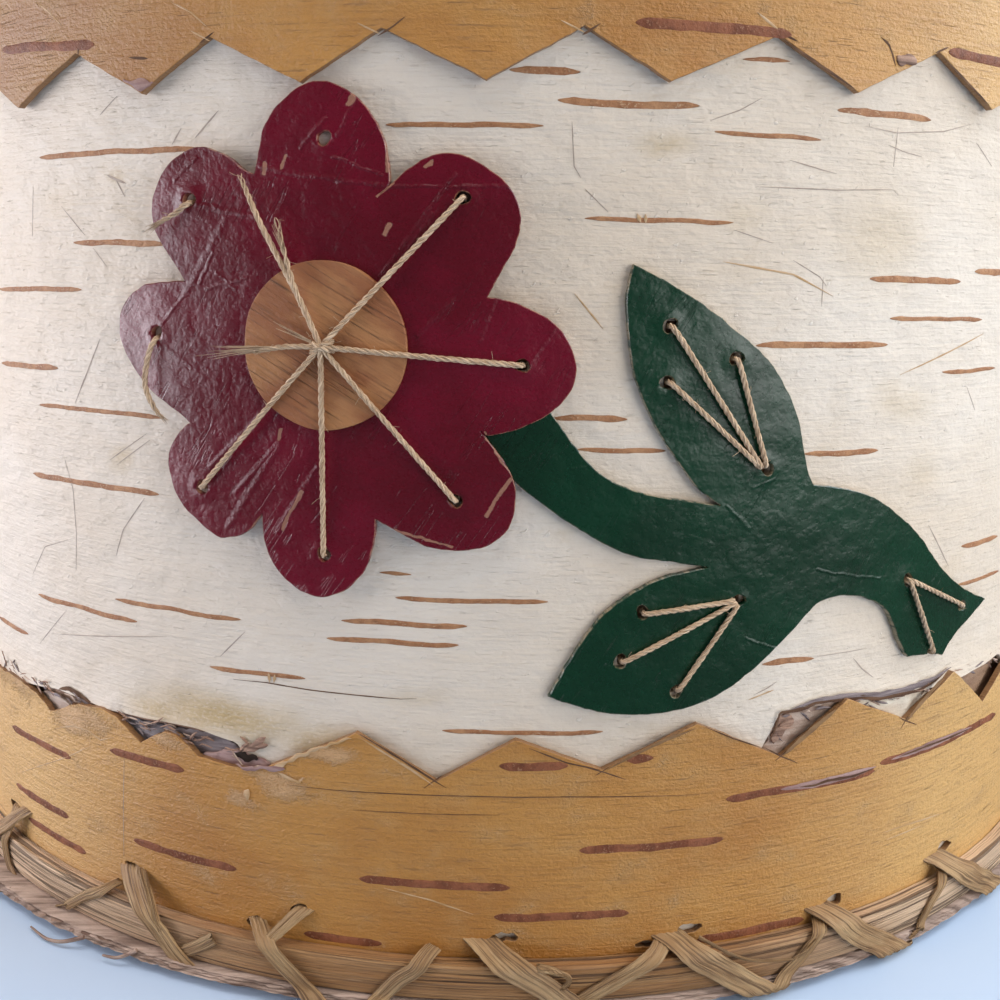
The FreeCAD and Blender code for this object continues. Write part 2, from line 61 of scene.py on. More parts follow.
# %% [markdown]
# ## Sizes from the frame
# Radii and levels are read from the nodes of the CAD model. They could be typed in as numbers, but
# then the dressed pieces would part from the model as soon as one of its sizes changed.

# %% Radii and levels
def reach(node):
    """Least and greatest distance of a node from the box's axis."""
    radii = [math.hypot(vertex.co.x, vertex.co.y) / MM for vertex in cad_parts[node].data.vertices]
    return min(radii), max(radii)


def levels(node):
    """Lowest and highest level of a node."""
    low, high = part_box(node)
    return low.z / MM, high.z / MM


wall_radius = reach("outer_wall")[1]
band_face = reach("lower_band")[1]
hoop_inner, hoop_face = reach("base_hoop")
hoop_foot, hoop_top = levels("base_hoop")
disc_floor, disc_top = levels("base_disc")
petals_inner, petals_face = reach("flower_petals")
stem_inner, stem_face = reach("stem_and_leaves")
centre_inner, centre_face = reach("flower_centre")
lid_surface = levels("lid_top_disc")[1]
print("wall", round(wall_radius, 2), "hoop", round(hoop_foot, 2), round(hoop_top, 2))


# %% [markdown]
# ## Helpers for shapes
# Most pieces of the box lie on its round wall. A modifier could bend flat meshes round it. Here
# each point is worked out as a place on the wall, which keeps holes, edges and strips exactly on
# their radius. `smooth` draws a curve through a few points, and `even` spaces points along it.

# %% Placing
def on_wall(along, up, radius):
    """The point over one place of the wall, in millimetres."""
    angle = along / wall_radius
    return Vector((radius * math.sin(angle), -radius * math.cos(angle), hoop_top + up))


def outward(along):
    """The direction straight off the wall."""
    angle = along / wall_radius
    return Vector((math.sin(angle), -math.cos(angle), 0))


def smooth(points, steps, closed=False):
    """A curve through points of any dimension."""
    points = [Vector(point) for point in points]
    count = len(points)
    found = []
    for number in range(count if closed else count - 1):
        if closed:
            corners = [points[(number + shift) % count] for shift in (-1, 0, 1, 2)]
        else:
            corners = [points[min(max(number + shift, 0), count - 1)] for shift in (-1, 0, 1, 2)]
        before, start, end, after = corners
        for step in range(steps):
            t = step / steps
            found.append(0.5 * (2 * start + (end - before) * t
                                + (2 * before - 5 * start + 4 * end - after) * t * t
                                + (3 * start - before - 3 * end + after) * t ** 3))
    if not closed:
        found.append(points[-1])
    return found


def even(points, spacing):
    """The same path with points at an even spacing."""
    lengths = [0.0]
    for start, end in zip(points, points[1:]):
        lengths.append(lengths[-1] + (end - start).length)
    count = max(2, round(lengths[-1] / spacing))
    found = []
    number = 0
    for step in range(count + 1):
        target = lengths[-1] * step / count
        while number < len(points) - 2 and lengths[number + 1] < target:
            number += 1
        span = max(lengths[number + 1] - lengths[number], 1e-9)
        found.append(points[number].lerp(points[number + 1], (target - lengths[number]) / span))
    return found


def ripple(place, size, seed=0.0):
    """Smooth noise between about -1 and 1 that varies over a size."""
    return noise.noise(Vector(place) / size + Vector((seed, 1.7 * seed, -seed)))


# %% [markdown]
# `Pile` collects points and faces and makes one piece of them. Each point also keeps a pattern
# place, which is how far along, across and on which strand it lies, so that a material can follow
# the piece. A UV map could hold two of those numbers, and an attribute holds all three.

# %% Pile
class Pile:
    """Points and faces for one piece, with a pattern place for each point."""

    def __init__(self):
        self.points = []
        self.faces = []
        self.places = []

    def rows(self, rows, capped=True, seed=0.0):
        """A skin over rows of points. Each row goes round one section."""
        first = len(self.points)
        width = len(rows[0])
        travelled = 0.0
        for number, row in enumerate(rows):
            if number:
                travelled += (row[0] - rows[number - 1][0]).length
            self.points += row
            self.places += [(travelled, step / width, seed) for step in range(width)]
        for number in range(len(rows) - 1):
            low = first + number * width
            for step in range(width):
                after = (step + 1) % width
                self.faces.append((low + step, low + after, low + width + after, low + width + step))
        if capped:
            last = first + (len(rows) - 1) * width
            self.faces.append(tuple(range(first + width - 1, first - 1, -1)))
            self.faces.append(tuple(range(last, last + width)))

    def tube(self, path, radii, sides, seed):
        """A round rod along a path. radii is one radius, or one for each point."""
        if not isinstance(radii, (list, tuple)):
            radii = [radii] * len(path)
        heading = (path[1] - path[0]).normalized()
        side = heading.orthogonal().normalized()
        rows = []
        for number, point in enumerate(path):
            ahead = path[min(number + 1, len(path) - 1)] - path[max(number - 1, 0)]
            ahead.normalize()
            side = (side - ahead * side.dot(ahead)).normalized()
            other = ahead.cross(side)
            row = []
            for step in range(sides):
                angle = 2 * math.pi * step / sides
                row.append(point + (side * math.cos(angle) + other * math.sin(angle)) * radii[number])
            rows.append(row)
        self.rows(rows, seed=seed)

    def piece(self, name, material, body="box", slot=None, replaces=(), sharp=40):
        """Makes the mesh, gives it its material and lets it ride on its body."""
        mesh = bpy.data.meshes.new(name)
        mesh.from_pydata([point * MM for point in self.points], [], self.faces)
        places = mesh.attributes.new("place", "FLOAT_VECTOR", "POINT")
        places.data.foreach_set("vector", [number for place in self.places for number in place])
        return finished(name, mesh, material, body, replaces, sharp)


def finished(name, mesh, material, body, replaces, sharp):
    """The piece of a mesh, with its faces outwards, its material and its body."""
    shape = bmesh.new()
    shape.from_mesh(mesh)
    bmesh.ops.recalc_face_normals(shape, faces=shape.faces)
    shape.to_mesh(mesh)
    shape.free()
    mesh.validate()
    mesh.shade_smooth()
    mesh.set_sharp_from_angle(angle=math.radians(sharp))
    mesh.materials.append(material)
    piece = bpy.data.objects.new(name, mesh)
    scene.collection.objects.link(piece)
    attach(piece, body)
    if replaces:
        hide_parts(*replaces)
    print(name, len(mesh.polygons), "faces")
    return piece


# %% [markdown]
# The sheets of bark have cut teeth and awl holes. Their outlines could be drawn again by hand.
# Reading them from the CAD nodes keeps every tooth and hole where the model has it, and then only
# the edge is made uneven, as a knife or a tear leaves it.

# %% Outlines
def outlines_of(node):
    """The edges of a sheet's outer skin, as closed loops of (along, up), the longest first."""
    skin = reach(node)[1]
    shape = bmesh.new()
    shape.from_mesh(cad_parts[node].data)
    bmesh.ops.remove_doubles(shape, verts=shape.verts, dist=1e-6)
    outer = set()
    for face in shape.faces:
        middle = face.calc_center_median()
        flat = abs(face.normal.dot(Vector((middle.x, middle.y, 0)).normalized())) > 0.7
        if flat and all(abs(math.hypot(*vertex.co.xy) / MM - skin) < 0.05 for vertex in face.verts):
            outer.add(face)
    links = {}
    for edge in shape.edges:
        if sum(face in outer for face in edge.link_faces) == 1:
            first, second = edge.verts
            links.setdefault(first, []).append(second)
            links.setdefault(second, []).append(first)
    loops = []
    while links:
        vertex = next(iter(links))
        loop = []
        while vertex in links:
            following = links.pop(vertex)
            place = vertex.co / MM
            loop.append((math.atan2(place.x, -place.y) * wall_radius, place.z - hoop_top))
            ahead = [other for other in following if other in links]
            if not ahead:
                break
            vertex = ahead[0]
        loops.append(loop)
    shape.free()
    return sorted(loops, key=lambda loop: min(point[0] for point in loop) - max(point[0] for point in loop))


def rounded(loop, times=2):
    """A loop with its corners cut off."""
    for _ in range(times):
        cut = []
        for (x0, y0), (x1, y1) in zip(loop, loop[1:] + loop[:1]):
            for share in (0.25, 0.75):
                cut.append(((1 - share) * x0 + share * x1, (1 - share) * y0 + share * y1))
        loop = cut
    return loop


def worn(loop, spacing, amount, size, seed=0.0):
    """A loop with points at most a spacing apart, moved by noise. amount may vary with the place."""
    found = []
    for (x0, y0), (x1, y1) in zip(loop, loop[1:] + loop[:1]):
        count = max(1, math.ceil(math.hypot(x1 - x0, y1 - y0) / spacing))
        for step in range(count):
            x = x0 + (x1 - x0) * step / count
            y = y0 + (y1 - y0) * step / count
            by = amount(x, y) if callable(amount) else amount
            found.append((x + by * ripple((x, y, 0), size, seed), y + by * ripple((x, y, 7), size, seed)))
    return found


def near(value, start, end, soft):
    """1 between start and end, falling to 0 over a soft distance outside them."""
    gap = max(start - value, value - end, 0.0)
    return max(0.0, 1 - gap / soft)


# %% [markdown]
# A sheet is an outline with holes, filled with triangles and given a thickness. A Boolean could
# cut the holes, but it leaves long thin faces that bend badly. A triangulation that keeps the
# outlines and adds a grid of points inside them bends smoothly round the wall.

# %% Sheets of bark cut to an outline
def turns_left(loop):
    """Whether a loop runs anticlockwise."""
    return sum(x0 * y1 - x1 * y0 for (x0, y0), (x1, y1) in zip(loop, loop[1:] + loop[:1])) > 0


def drawn_in(loop, by, hole=False):
    """A loop moved into its sheet."""
    turn = by if turns_left(loop) != hole else -by
    found = []
    for number, (x, y) in enumerate(loop):
        before, after = loop[number - 1], loop[(number + 1) % len(loop)]
        run = Vector((after[0] - before[0], after[1] - before[1]))
        if run.length < 1e-6:
            found.append((x, y))
            continue
        run.normalize()
        found.append((x - run.y * turn, y + run.x * turn))
    return found


def cut_sheet(outlines, inside, thickness, rounding, grid, lift):
    """A mesh of bark that is cut to outlines of (along, up) and bent round the wall."""
    outlines = [loop if turns_left(loop) else loop[::-1] for loop in outlines]
    skins = [drawn_in(loop, rounding, number > 0) for number, loop in enumerate(outlines)]
    points, borders = [], []
    for loop in skins:
        borders.append(list(range(len(points), len(points) + len(loop))))
        points += [Vector(point) for point in loop]
    alongs = [point[0] for point in skins[0]]
    ups = [point[1] for point in skins[0]]
    for row in range(int((max(ups) - min(ups)) / grid)):
        for column in range(int((max(alongs) - min(alongs)) / grid)):
            along = min(alongs) + (column + 0.3 + 0.5 * (row % 2)) * grid
            points.append(Vector((along, min(ups) + (row + 0.6) * grid)))
    flat, _, faces, origins, _, parents = geometry.delaunay_2d_cdt(points, [], borders, 0, 1e-5, True)
    made = {}
    for number, sources in enumerate(origins):
        for source in sources:
            made[source] = number
    kept = [face for face, parent in zip(faces, parents) if parent == [0]]
    used = sorted({corner for face in kept for corner in face})
    order = {corner: number for number, corner in enumerate(used)}
    corners = [(flat[corner].x, flat[corner].y, thickness / 2) for corner in used]
    corners += [(flat[corner].x, flat[corner].y, -thickness / 2) for corner in used]
    count = len(used)
    sides = [tuple(order[corner] for corner in face) for face in kept]
    sides += [tuple(count + order[corner] for corner in reversed(face)) for face in kept]
    for loop, border in zip(outlines, borders):
        first = len(corners)
        size = len(loop)
        corners += [(along, up, thickness / 2 - rounding) for along, up in loop]
        corners += [(along, up, -thickness / 2) for along, up in loop]
        for number in range(size):
            after = (number + 1) % size
            here, there = order.get(made[border[number]]), order.get(made[border[after]])
            if here is None or there is None:
                continue
            if here != there:
                sides.append((here, there, first + after, first + number))
                sides.append((count + there, count + here, first + size + number, first + size + after))
            sides.append((first + number, first + after, first + size + after, first + size + number))
    middle = inside + thickness / 2
    mesh = bpy.data.meshes.new("sheet")
    raised = [lift(along, up) if lift else 0.0 for along, up, _ in corners]
    points = [on_wall(along, up, middle + rise + more) * MM
              for (along, up, rise), more in zip(corners, raised)]
    mesh.from_pydata(points, [], sides)
    places = mesh.attributes.new("place", "FLOAT_VECTOR", "POINT")
    places.data.foreach_set("vector", [number for corner in corners for number in corner])
    return mesh


def round_hole(along, up, radius, seed, flatness=1.0):
    """A slightly uneven round outline."""
    found = []
    for step in range(14):
        angle = 2 * math.pi * step / 14
        size = radius * (1 + 0.14 * math.sin(2 * angle + seed) + 0.08 * math.sin(3 * angle + 2 * seed))
        found.append((along + size * math.cos(angle), up + flatness * size * math.sin(angle)))
    return found


# %% [markdown]
# ## Helpers for materials
# A material's nodes could be placed and wired one by one. `Term` wraps a socket, so that a
# pattern reads as a formula instead, and `Nodes.node` makes every other node.

# %% Term
class Term:
    """A number or colour inside a material."""

    def __init__(self, recipe, socket):
        self.recipe = recipe
        self.socket = socket

    def math(self, operation, *others):
        return self.recipe.node("ShaderNodeMath", {"operation": operation}, [self, *others])

    def __add__(self, other):
        return self.math("ADD", other)

    def __sub__(self, other):
        return self.math("SUBTRACT", other)

    def __mul__(self, other):
        return self.math("MULTIPLY", other)

    def __truediv__(self, other):
        return self.math("DIVIDE", other)

    __radd__ = __add__
    __rmul__ = __mul__

    def __rsub__(self, other):
        return (self * -1) + other

    def absolute(self):
        return self.math("ABSOLUTE")

    def power(self, exponent):
        return self.math("POWER", exponent)

    def largest(self, other):
        return self.math("MAXIMUM", other)

    def rise(self, low, high):
        """0 below low, 1 above high, and smooth between them. Falls if low is above high."""
        start, end = (0.0, 1.0) if low < high else (1.0, 0.0)
        ends = {"From Min": min(low, high), "From Max": max(low, high), "To Min": start, "To Max": end}
        return self.recipe.node("ShaderNodeMapRange", {"interpolation_type": "SMOOTHSTEP"},
                                {"Value": self, **ends})


def rgba(colour):
    return colour if isinstance(colour, Term) else (*colour, 1.0)


# %% Nodes and Recipe
class Nodes:
    """The nodes of one material or of the world."""

    def __init__(self, tree):
        self.tree = tree

    def node(self, kind, settings, inputs, output=0):
        """Any node, with its settings, its inputs by name or in order, and the output wanted."""
        made = self.tree.nodes.new(kind)
        for key, value in settings.items():
            setattr(made, key, value)
        pairs = inputs.items() if isinstance(inputs, dict) else enumerate(inputs)
        for key, value in pairs:
            self.feed(made.inputs[key], value)
        return Term(self, made.outputs[output])

    def feed(self, socket, value):
        if isinstance(value, Term):
            self.tree.links.new(value.socket, socket)
        else:
            socket.default_value = value

    def blend(self, factor, first, second):
        """A colour between two colours."""
        inputs = {0: factor, 6: rgba(first), 7: rgba(second)}
        return self.node("ShaderNodeMix", {"data_type": "RGBA"}, inputs, 2)


class Recipe(Nodes):
    """One material: a Principled surface and the terms that feed it."""

    def __init__(self, name, roughness=0.5, specular=0.5, coat=0.0, coat_roughness=0.1):
        self.material = bpy.data.materials.new(name)
        self.material.use_nodes = True
        super().__init__(self.material.node_tree)
        self.surface = self.tree.nodes["Principled BSDF"]
        self.surface.inputs["Roughness"].default_value = roughness
        self.surface.inputs["Specular IOR Level"].default_value = specular
        self.surface.inputs["Coat Weight"].default_value = coat
        self.surface.inputs["Coat Roughness"].default_value = coat_roughness

    def split(self, vector):
        first = self.node("ShaderNodeSeparateXYZ", {}, [vector])
        return [Term(self, output) for output in first.socket.node.outputs]

    def join(self, x, y, z):
        return self.node("ShaderNodeCombineXYZ", {}, [x, y, z])

    def bent(self):
        """Along, radius and height in millimetres, from the object's own coordinates."""
        x, y, z = self.split(self.node("ShaderNodeTexCoord", {}, {}, "Object"))
        angle = x.math("ARCTAN2", y * -1)
        radius = (x * x + y * y).power(0.5)
        return angle * wall_radius, radius / MM, z / MM

    def place(self):
        """The piece's own pattern places: along, across and a number for each strand."""
        return self.split(self.node("ShaderNodeAttribute", {"attribute_name": "place"}, {}, "Vector"))

    def noise(self, x, y, z, detail=4.0, roughness=0.55):
        inputs = {"Vector": self.join(x, y, z), "Scale": 1.0, "Detail": detail, "Roughness": roughness}
        return self.node("ShaderNodeTexNoise", {}, inputs, "Fac")

    def flat(self):
        """The same for a level disc: x, depth and y in millimetres."""
        x, y, z = self.split(self.node("ShaderNodeTexCoord", {}, {}, "Object"))
        return x / MM, z / MM, y / MM

    def stroke(self, place, start, end, width):
        """1 on the line between two places, falling to 0 at a width beside it."""
        length = math.dist(start, end)
        run = Vector(((end[0] - start[0]) / length, (end[1] - start[1]) / length))
        ahead = self.dot(place, (run.x, run.y, 0)) - run.dot(Vector(start))
        beside = self.dot(place, (run.y, -run.x, 0)) - Vector((run.y, -run.x)).dot(Vector(start))
        within = (ahead - length / 2).absolute().rise(length / 2 + width, length / 2)
        return beside.absolute().rise(width, 0.0) * within

    def spot(self, place, centre, size):
        """1 at a place, falling to 0 at a distance of size = (along, up)."""
        location = (-centre[0] / size[0], -centre[1] / size[1], 0)
        scale = (1 / size[0], 1 / size[1], 0)
        scaled = self.node("ShaderNodeMapping", {}, {"Vector": place, "Location": location, "Scale": scale})
        return self.node("ShaderNodeVectorMath", {"operation": "LENGTH"}, [scaled], "Value").rise(1.0, 0.0)

    def dot(self, place, direction):
        return self.node("ShaderNodeVectorMath", {"operation": "DOT_PRODUCT"}, [place, direction], "Value")

    def largest_of(self, terms):
        found = terms[0]
        for term in terms[1:]:
            found = found.largest(term)
        return found

    def done(self, colour, height=None, depth=0.1, roughness=None):
        """Feeds the surface. Height is relief from 0 to 1, and depth its size in millimetres."""
        self.feed(self.surface.inputs["Base Color"], rgba(colour))
        if roughness is not None:
            self.feed(self.surface.inputs["Roughness"], roughness)
        if height is not None:
            inputs = {"Height": height, "Distance": depth * MM, "Strength": 1.0}
            self.feed(self.surface.inputs["Normal"], self.node("ShaderNodeBump", {}, inputs))
        print("material", self.material.name)
        return self.material


# %% [markdown]
# ## White bark
# The wall shows the tree's white side, with fine level grain, tan stains and pale scuffs. An image
# could carry these. Noise that is stretched along the grain needs no file, and it stays sharp from
# near. The stains that catch the eye have places of their own.

# %% White bark
def white_bark():
    """Cream-white bark with fine level grain, tan stains and pale scratches."""
    recipe = Recipe("white_bark", roughness=0.5, specular=0.3)
    along, _, height = recipe.bent()
    up = height - hoop_top
    warp = recipe.noise(along * 0.08, up * 0.08, 40.0) * 6.0 - 3.0
    place = recipe.join(along + warp, up + warp, 0.0)
    broad = recipe.noise(along * 0.018, up * 0.03, 3.0)
    grain = recipe.noise(along * 0.10, up * 2.2, 8.0, detail=6.0, roughness=0.6)
    ticks = recipe.noise(along * 0.35, up * 3.4, 1.0, detail=4.0, roughness=0.7).rise(0.60, 0.72)
    fine = recipe.noise(along * 1.6, up * 2.6, 14.0, detail=4.0)
    blotch = recipe.noise(along * 0.055, up * 0.075, 21.0, detail=6.0, roughness=0.68).rise(0.56, 0.80)
    soot = recipe.noise(along * 0.10, up * 0.16, 55.0, detail=6.0, roughness=0.75).rise(0.64, 0.80)
    scuff = recipe.noise(along * 0.5 + up * 0.4, up * 0.9 - along * 0.5, 31.0, detail=3.0).rise(0.66, 0.72)
    stains = recipe.largest_of([recipe.spot(place, middle, size) * share
                                for middle, size, share in white_stains])
    colour = recipe.blend(broad.rise(0.35, 0.65), (0.73, 0.60, 0.465), (0.80, 0.69, 0.57))
    colour = recipe.blend(grain.rise(0.48, 0.72) * 0.22, colour, (0.56, 0.44, 0.33))
    colour = recipe.blend(ticks * 0.12, colour, (0.50, 0.37, 0.24))
    colour = recipe.blend(blotch * 0.45, colour, (0.60, 0.44, 0.26))
    colour = recipe.blend(soot * 0.28, colour, (0.40, 0.33, 0.27))
    colour = recipe.blend(scuff * 0.35, colour, (0.86, 0.76, 0.66))
    colour = recipe.blend(stains * fine.rise(0.0, 0.6), colour, (0.52, 0.36, 0.165))
    dents = recipe.noise(along * 0.16, up * 0.22, 27.0, detail=3.0)
    relief = grain * 0.45 + fine * 0.35 - ticks * 0.2 + scuff * 0.3 + dents * 2.2
    return recipe.done(colour, relief, 0.30, 0.42 + fine * 0.16)


# %% [markdown]
# ## Golden bark
# The bands show the honey-coloured side of the bark, pebbled like leather. Displacement could
# raise the pebbles, but it would need millions of faces, and a Bump node is enough for grain this
# fine. The bands have a painted sheen, paler where the wall turns away, and a painted shade at the
# head band's left. The foot band is rubbed along its worn teeth.

# %% Golden bark
def golden_bark(name="golden_bark", flat=False, half=0.0):
    """Honey-coloured bark. half is half the thickness of a band, whose cut edge is darker.
    With half, the bands also get a painted sheen at the front's sides and a painted shade at the head
    band's left.
    """
    recipe = Recipe(name, roughness=0.4, specular=0.55)
    along, _, height = recipe.flat() if flat else recipe.bent()
    broad = recipe.noise(along * 0.03, height * 0.05, 5.0)
    cloud = recipe.noise(along * 0.16, height * 0.22, 9.0, detail=5.0)
    pebble = recipe.noise(along * 1.15, height * 1.5, 4.0, detail=4.0)
    fine = recipe.noise(along * 2.6, height * 3.0, 6.0, detail=3.0, roughness=0.6)
    wrinkle = recipe.noise(along * 0.10, height * 1.9, 2.0, detail=5.0, roughness=0.6)
    ticks = recipe.noise(along * 0.14, height * 3.0, 12.0, detail=4.0, roughness=0.6).rise(0.62, 0.70)
    flecks = recipe.noise(along * 0.5, height * 0.7, 18.0, detail=5.0, roughness=0.75).rise(0.62, 0.76)
    colour = recipe.blend(broad.rise(0.35, 0.65), (0.44, 0.180, 0.030), (0.53, 0.245, 0.050))
    if half:
        # Painted sheen: the bands turn paler and yellower towards the sides of the front, the foot band on
        # both sides and the head band on the right, where the wall turns towards the side lamps.
        low = (height - hoop_top).rise(80.0, 40.0)
        sides = (along.rise(-36.0, -80.0) * low).largest(along.rise(30.0, 76.0))
        sides = sides * along.absolute().rise(230.0, 130.0)
        colour = recipe.blend(sides * 0.8, colour, (0.74, 0.445, 0.16))
        # Painted shade: the head band is darker at the left of the front.
        painted_shade_left = along.rise(-20.0, -64.0) * (height - hoop_top).rise(60.0, 80.0) * along.rise(-230.0, -130.0)
        colour = recipe.blend(painted_shade_left * 0.7, colour, (0.30, 0.140, 0.050))
    colour = recipe.blend(cloud.rise(0.42, 0.75) * 0.35, colour, (0.52, 0.31, 0.12))
    colour = recipe.blend(wrinkle.rise(0.50, 0.72) * 0.34, colour, (0.30, 0.125, 0.028))
    colour = recipe.blend(pebble.rise(0.50, 0.34) * 0.22, colour, (0.34, 0.145, 0.032))
    colour = recipe.blend(ticks * 0.28, colour, (0.22, 0.085, 0.022))
    colour = recipe.blend(flecks * 0.35, colour, (0.64, 0.43, 0.20))
    relief = pebble * 0.55 + fine * 0.45 + wrinkle * 0.5 - ticks * 0.3
    if half:
        place = recipe.join(along, height - hoop_top, 0.0)
        spots = recipe.largest_of([recipe.spot(place, *worn_spot) for worn_spot in gold_worn])
        worn_mask = (spots * 0.55 + cloud * 1.3 + fine * 0.6 - 1.1).rise(0.0, 0.35)
        colour = recipe.blend(worn_mask * 0.7, colour, (0.66, 0.39, 0.19))
        relief = relief + worn_mask * (0.3 + fine * 0.5)
        rise = recipe.place()[2]
        colour = recipe.blend(rise.rise(half - 0.02, half - 0.08), colour, (0.30, 0.15, 0.06))
    return recipe.done(colour, relief, 0.36, 0.36 + fine * 0.2)


# %% [markdown]
# ## Brown bark and lenticels
# The lining, the disc and every torn edge show brown layers that differ in colour only. One
# function makes them all. The bark's long pores are wrinkled across, so their pattern follows the
# places along and across each pore.

# %% Brown and torn bark
def brown_bark(name, light, dark, specular=0.3, flat=False, grain=0.7):
    """Streaked bark between two colours. grain is how close its streaks lie."""
    recipe = Recipe(name, roughness=0.6, specular=specular)
    along, radius, height = recipe.flat() if flat else recipe.bent()
    depth = height * grain + radius * 0.5
    streaks = recipe.noise(along * 0.09, depth, 2.0, detail=6.0)
    speckle = recipe.noise(along * 0.7, height * 1.2, radius * 0.7, detail=5.0, roughness=0.7)
    colour = recipe.blend(streaks.rise(0.35, 0.68), light, dark)
    colour = recipe.blend(speckle.rise(0.58, 0.75) * 0.4, colour, tuple(0.5 * shade for shade in dark))
    return recipe.done(colour, speckle * 0.6 + streaks * 0.4, 0.35)


# %% Lenticels
def lenticel(name, light, dark, edge):
    """The bark's long pores: wrinkled across, with darker grain and paler patches."""
    recipe = Recipe(name, roughness=0.55, specular=0.3)
    along, across, seed = recipe.place()
    broad = recipe.noise(along * 0.30, seed * 9.0, 0.0, detail=3.0)
    grain = recipe.noise(along * 1.1, across * 2.0, seed * 9.0, detail=5.0, roughness=0.65)
    fine = recipe.noise(along * 3.0, across * 5.0, seed * 5.0, detail=3.0)
    colour = recipe.blend(broad.rise(0.35, 0.65), light, dark)
    colour = recipe.blend(grain.rise(0.45, 0.7) * 0.55, colour, tuple(0.55 * shade for shade in dark))
    colour = recipe.blend((fine + broad * 0.5).rise(0.84, 1.0) * 0.7, colour, edge)
    return recipe.done(colour, fine * 0.4 + grain * 0.6, 0.3)


# %% [markdown]
# ## Paint
# Petals and leaves are painted bark, with creases, pits and chips that show the bark. A mask could
# be painted by hand. Strokes between two places stay sharp, and each can be moved by its numbers.

# %% Paint
def paint(name, base, deep, chip, coat, creases, chips=(), leather=0.35):
    """Glossy paint over bark: creases, pits, and chips and edges that show the bark."""
    recipe = Recipe(name, roughness=0.3, specular=0.4, coat=coat, coat_roughness=0.2)
    along, up, rise = recipe.place()
    warp = recipe.noise(along * 0.35, up * 0.35, 9.0, detail=2.0) * 1.2 - 0.6
    place = recipe.join(along + warp, up + warp * 0.7, 0.0)
    slant = along * 0.55 + up * 0.83
    across = along * 0.83 - up * 0.55
    broad = recipe.noise(along * 0.07, up * 0.07, 4.0)
    dents = recipe.noise(along * 0.28, up * 0.28, 3.0, detail=3.0)
    skin = recipe.noise(along * 1.5, up * 1.5, 2.0, detail=5.0, roughness=0.62)
    scratch = recipe.noise(slant * 0.035, across * 0.5, 15.0, detail=3.0) - 0.5
    scratch = scratch.absolute().rise(0.010, 0.0)
    patchy = recipe.noise(along * 0.15, up * 0.15, 25.0, detail=2.0).rise(0.5, 0.6)
    wear = recipe.noise(along * 0.6, up * 0.6, 33.0, detail=4.0, roughness=0.7)
    edge = rise.rise(0.39, 0.33) * wear.rise(0.42, 0.56)
    bare = recipe.noise(slant * 0.5, across * 1.6, 5.0, detail=5.0, roughness=0.75).rise(0.765, 0.78)
    relief = skin * leather + dents * 0.9 - scratch * patchy * 0.25
    if chips:
        marks = recipe.largest_of([recipe.stroke(place, *one) for one in chips])
        bare = bare.largest((marks + wear * 1.7 - 0.85).rise(0.5, 0.62))
    ridges = recipe.largest_of([recipe.stroke(place, *one) for one in creases])
    relief = relief + ridges * (0.1 + skin * 0.3)
    relief = relief - bare * 0.3
    colour = recipe.blend(broad.rise(0.35, 0.65), base, deep)
    colour = recipe.blend(bare.largest(edge) * 0.92, colour, chip)
    return recipe.done(colour, relief, 0.30, 0.22 + skin * 0.12 + bare * 0.3)


# %% [markdown]
# ## Split wood, lashing and twine
# Wood, root and twine are bundles of fibres. Object coordinates would cut across the fibres where
# a strip or thread bends, so those two read the places along and across the piece. The hoops
# only bend round the box, and can use the wall's own coordinates.

# %% Split wood
def split_wood():
    """Split wood, brown at the middle of the front and painted straw-pale elsewhere as a sheen, with long
    dark grain lines along the hoop.
    """
    recipe = Recipe("split_wood", roughness=0.55, specular=0.3)
    along, radius, height = recipe.bent()
    depth = height + radius * 0.8
    broad = recipe.noise(along * 0.03, depth * 0.5, 2.0)
    grain = recipe.noise(along * 0.035, depth * 3.4, 6.0, detail=6.0, roughness=0.62)
    fine = recipe.noise(along * 0.25, depth * 9.0, 8.0, detail=4.0)
    lines = recipe.noise(along * 0.02, depth * 2.0, 17.0, detail=4.0).rise(0.56, 0.61)
    colour = recipe.blend(broad.rise(0.3, 0.7), (0.40, 0.185, 0.064), (0.53, 0.28, 0.112))
    # Painted sheen: the wood is paler and straw-coloured away from the middle of the front, where the hoop
    # turns towards the lamps.
    colour = recipe.blend(along.absolute().rise(25.0, 70.0) * 0.8, colour, (0.92, 0.66, 0.44))
    colour = recipe.blend(grain.rise(0.44, 0.66) * 0.75, colour, (0.20, 0.105, 0.050))
    colour = recipe.blend(fine.rise(0.55, 0.75) * 0.35, colour, (0.60, 0.43, 0.26))
    colour = recipe.blend(lines * 0.75, colour, (0.10, 0.052, 0.028))
    return recipe.done(colour, grain + fine * 0.3 - lines * 0.7, 0.55)


# %% Lashing, twine and the flower's middle
def lashing_strip():
    """Brown root strip with fine dark and pale ribs along it."""
    recipe = Recipe("lashing_strip", roughness=0.5, specular=0.35)
    along, across, seed = recipe.place()
    grain = recipe.noise(along * 0.10, across * 30.0, seed * 13.0, detail=5.0, roughness=0.62)
    broad = recipe.noise(along * 0.18, across * 3.0, seed * 7.0)
    colour = recipe.blend(broad.rise(0.3, 0.7), (0.38, 0.215, 0.095), (0.52, 0.33, 0.16))
    colour = recipe.blend(grain.rise(0.47, 0.63) * 0.85, colour, (0.125, 0.062, 0.028))
    colour = recipe.blend(grain.rise(0.42, 0.28) * 0.55, colour, (0.60, 0.42, 0.23))
    return recipe.done(colour, grain, 0.35)


def twine_fibre():
    """Pale twine with fibres along each ply."""
    recipe = Recipe("twine", roughness=0.6, specular=0.25)
    along, across, seed = recipe.place()
    fibres = recipe.noise(along * 0.5, across * 9.0, seed * 11.0, detail=5.0)
    colour = recipe.blend(fibres.rise(0.35, 0.65), (0.36, 0.22, 0.125), (0.80, 0.585, 0.385))
    return recipe.done(colour, fibres, 0.12)


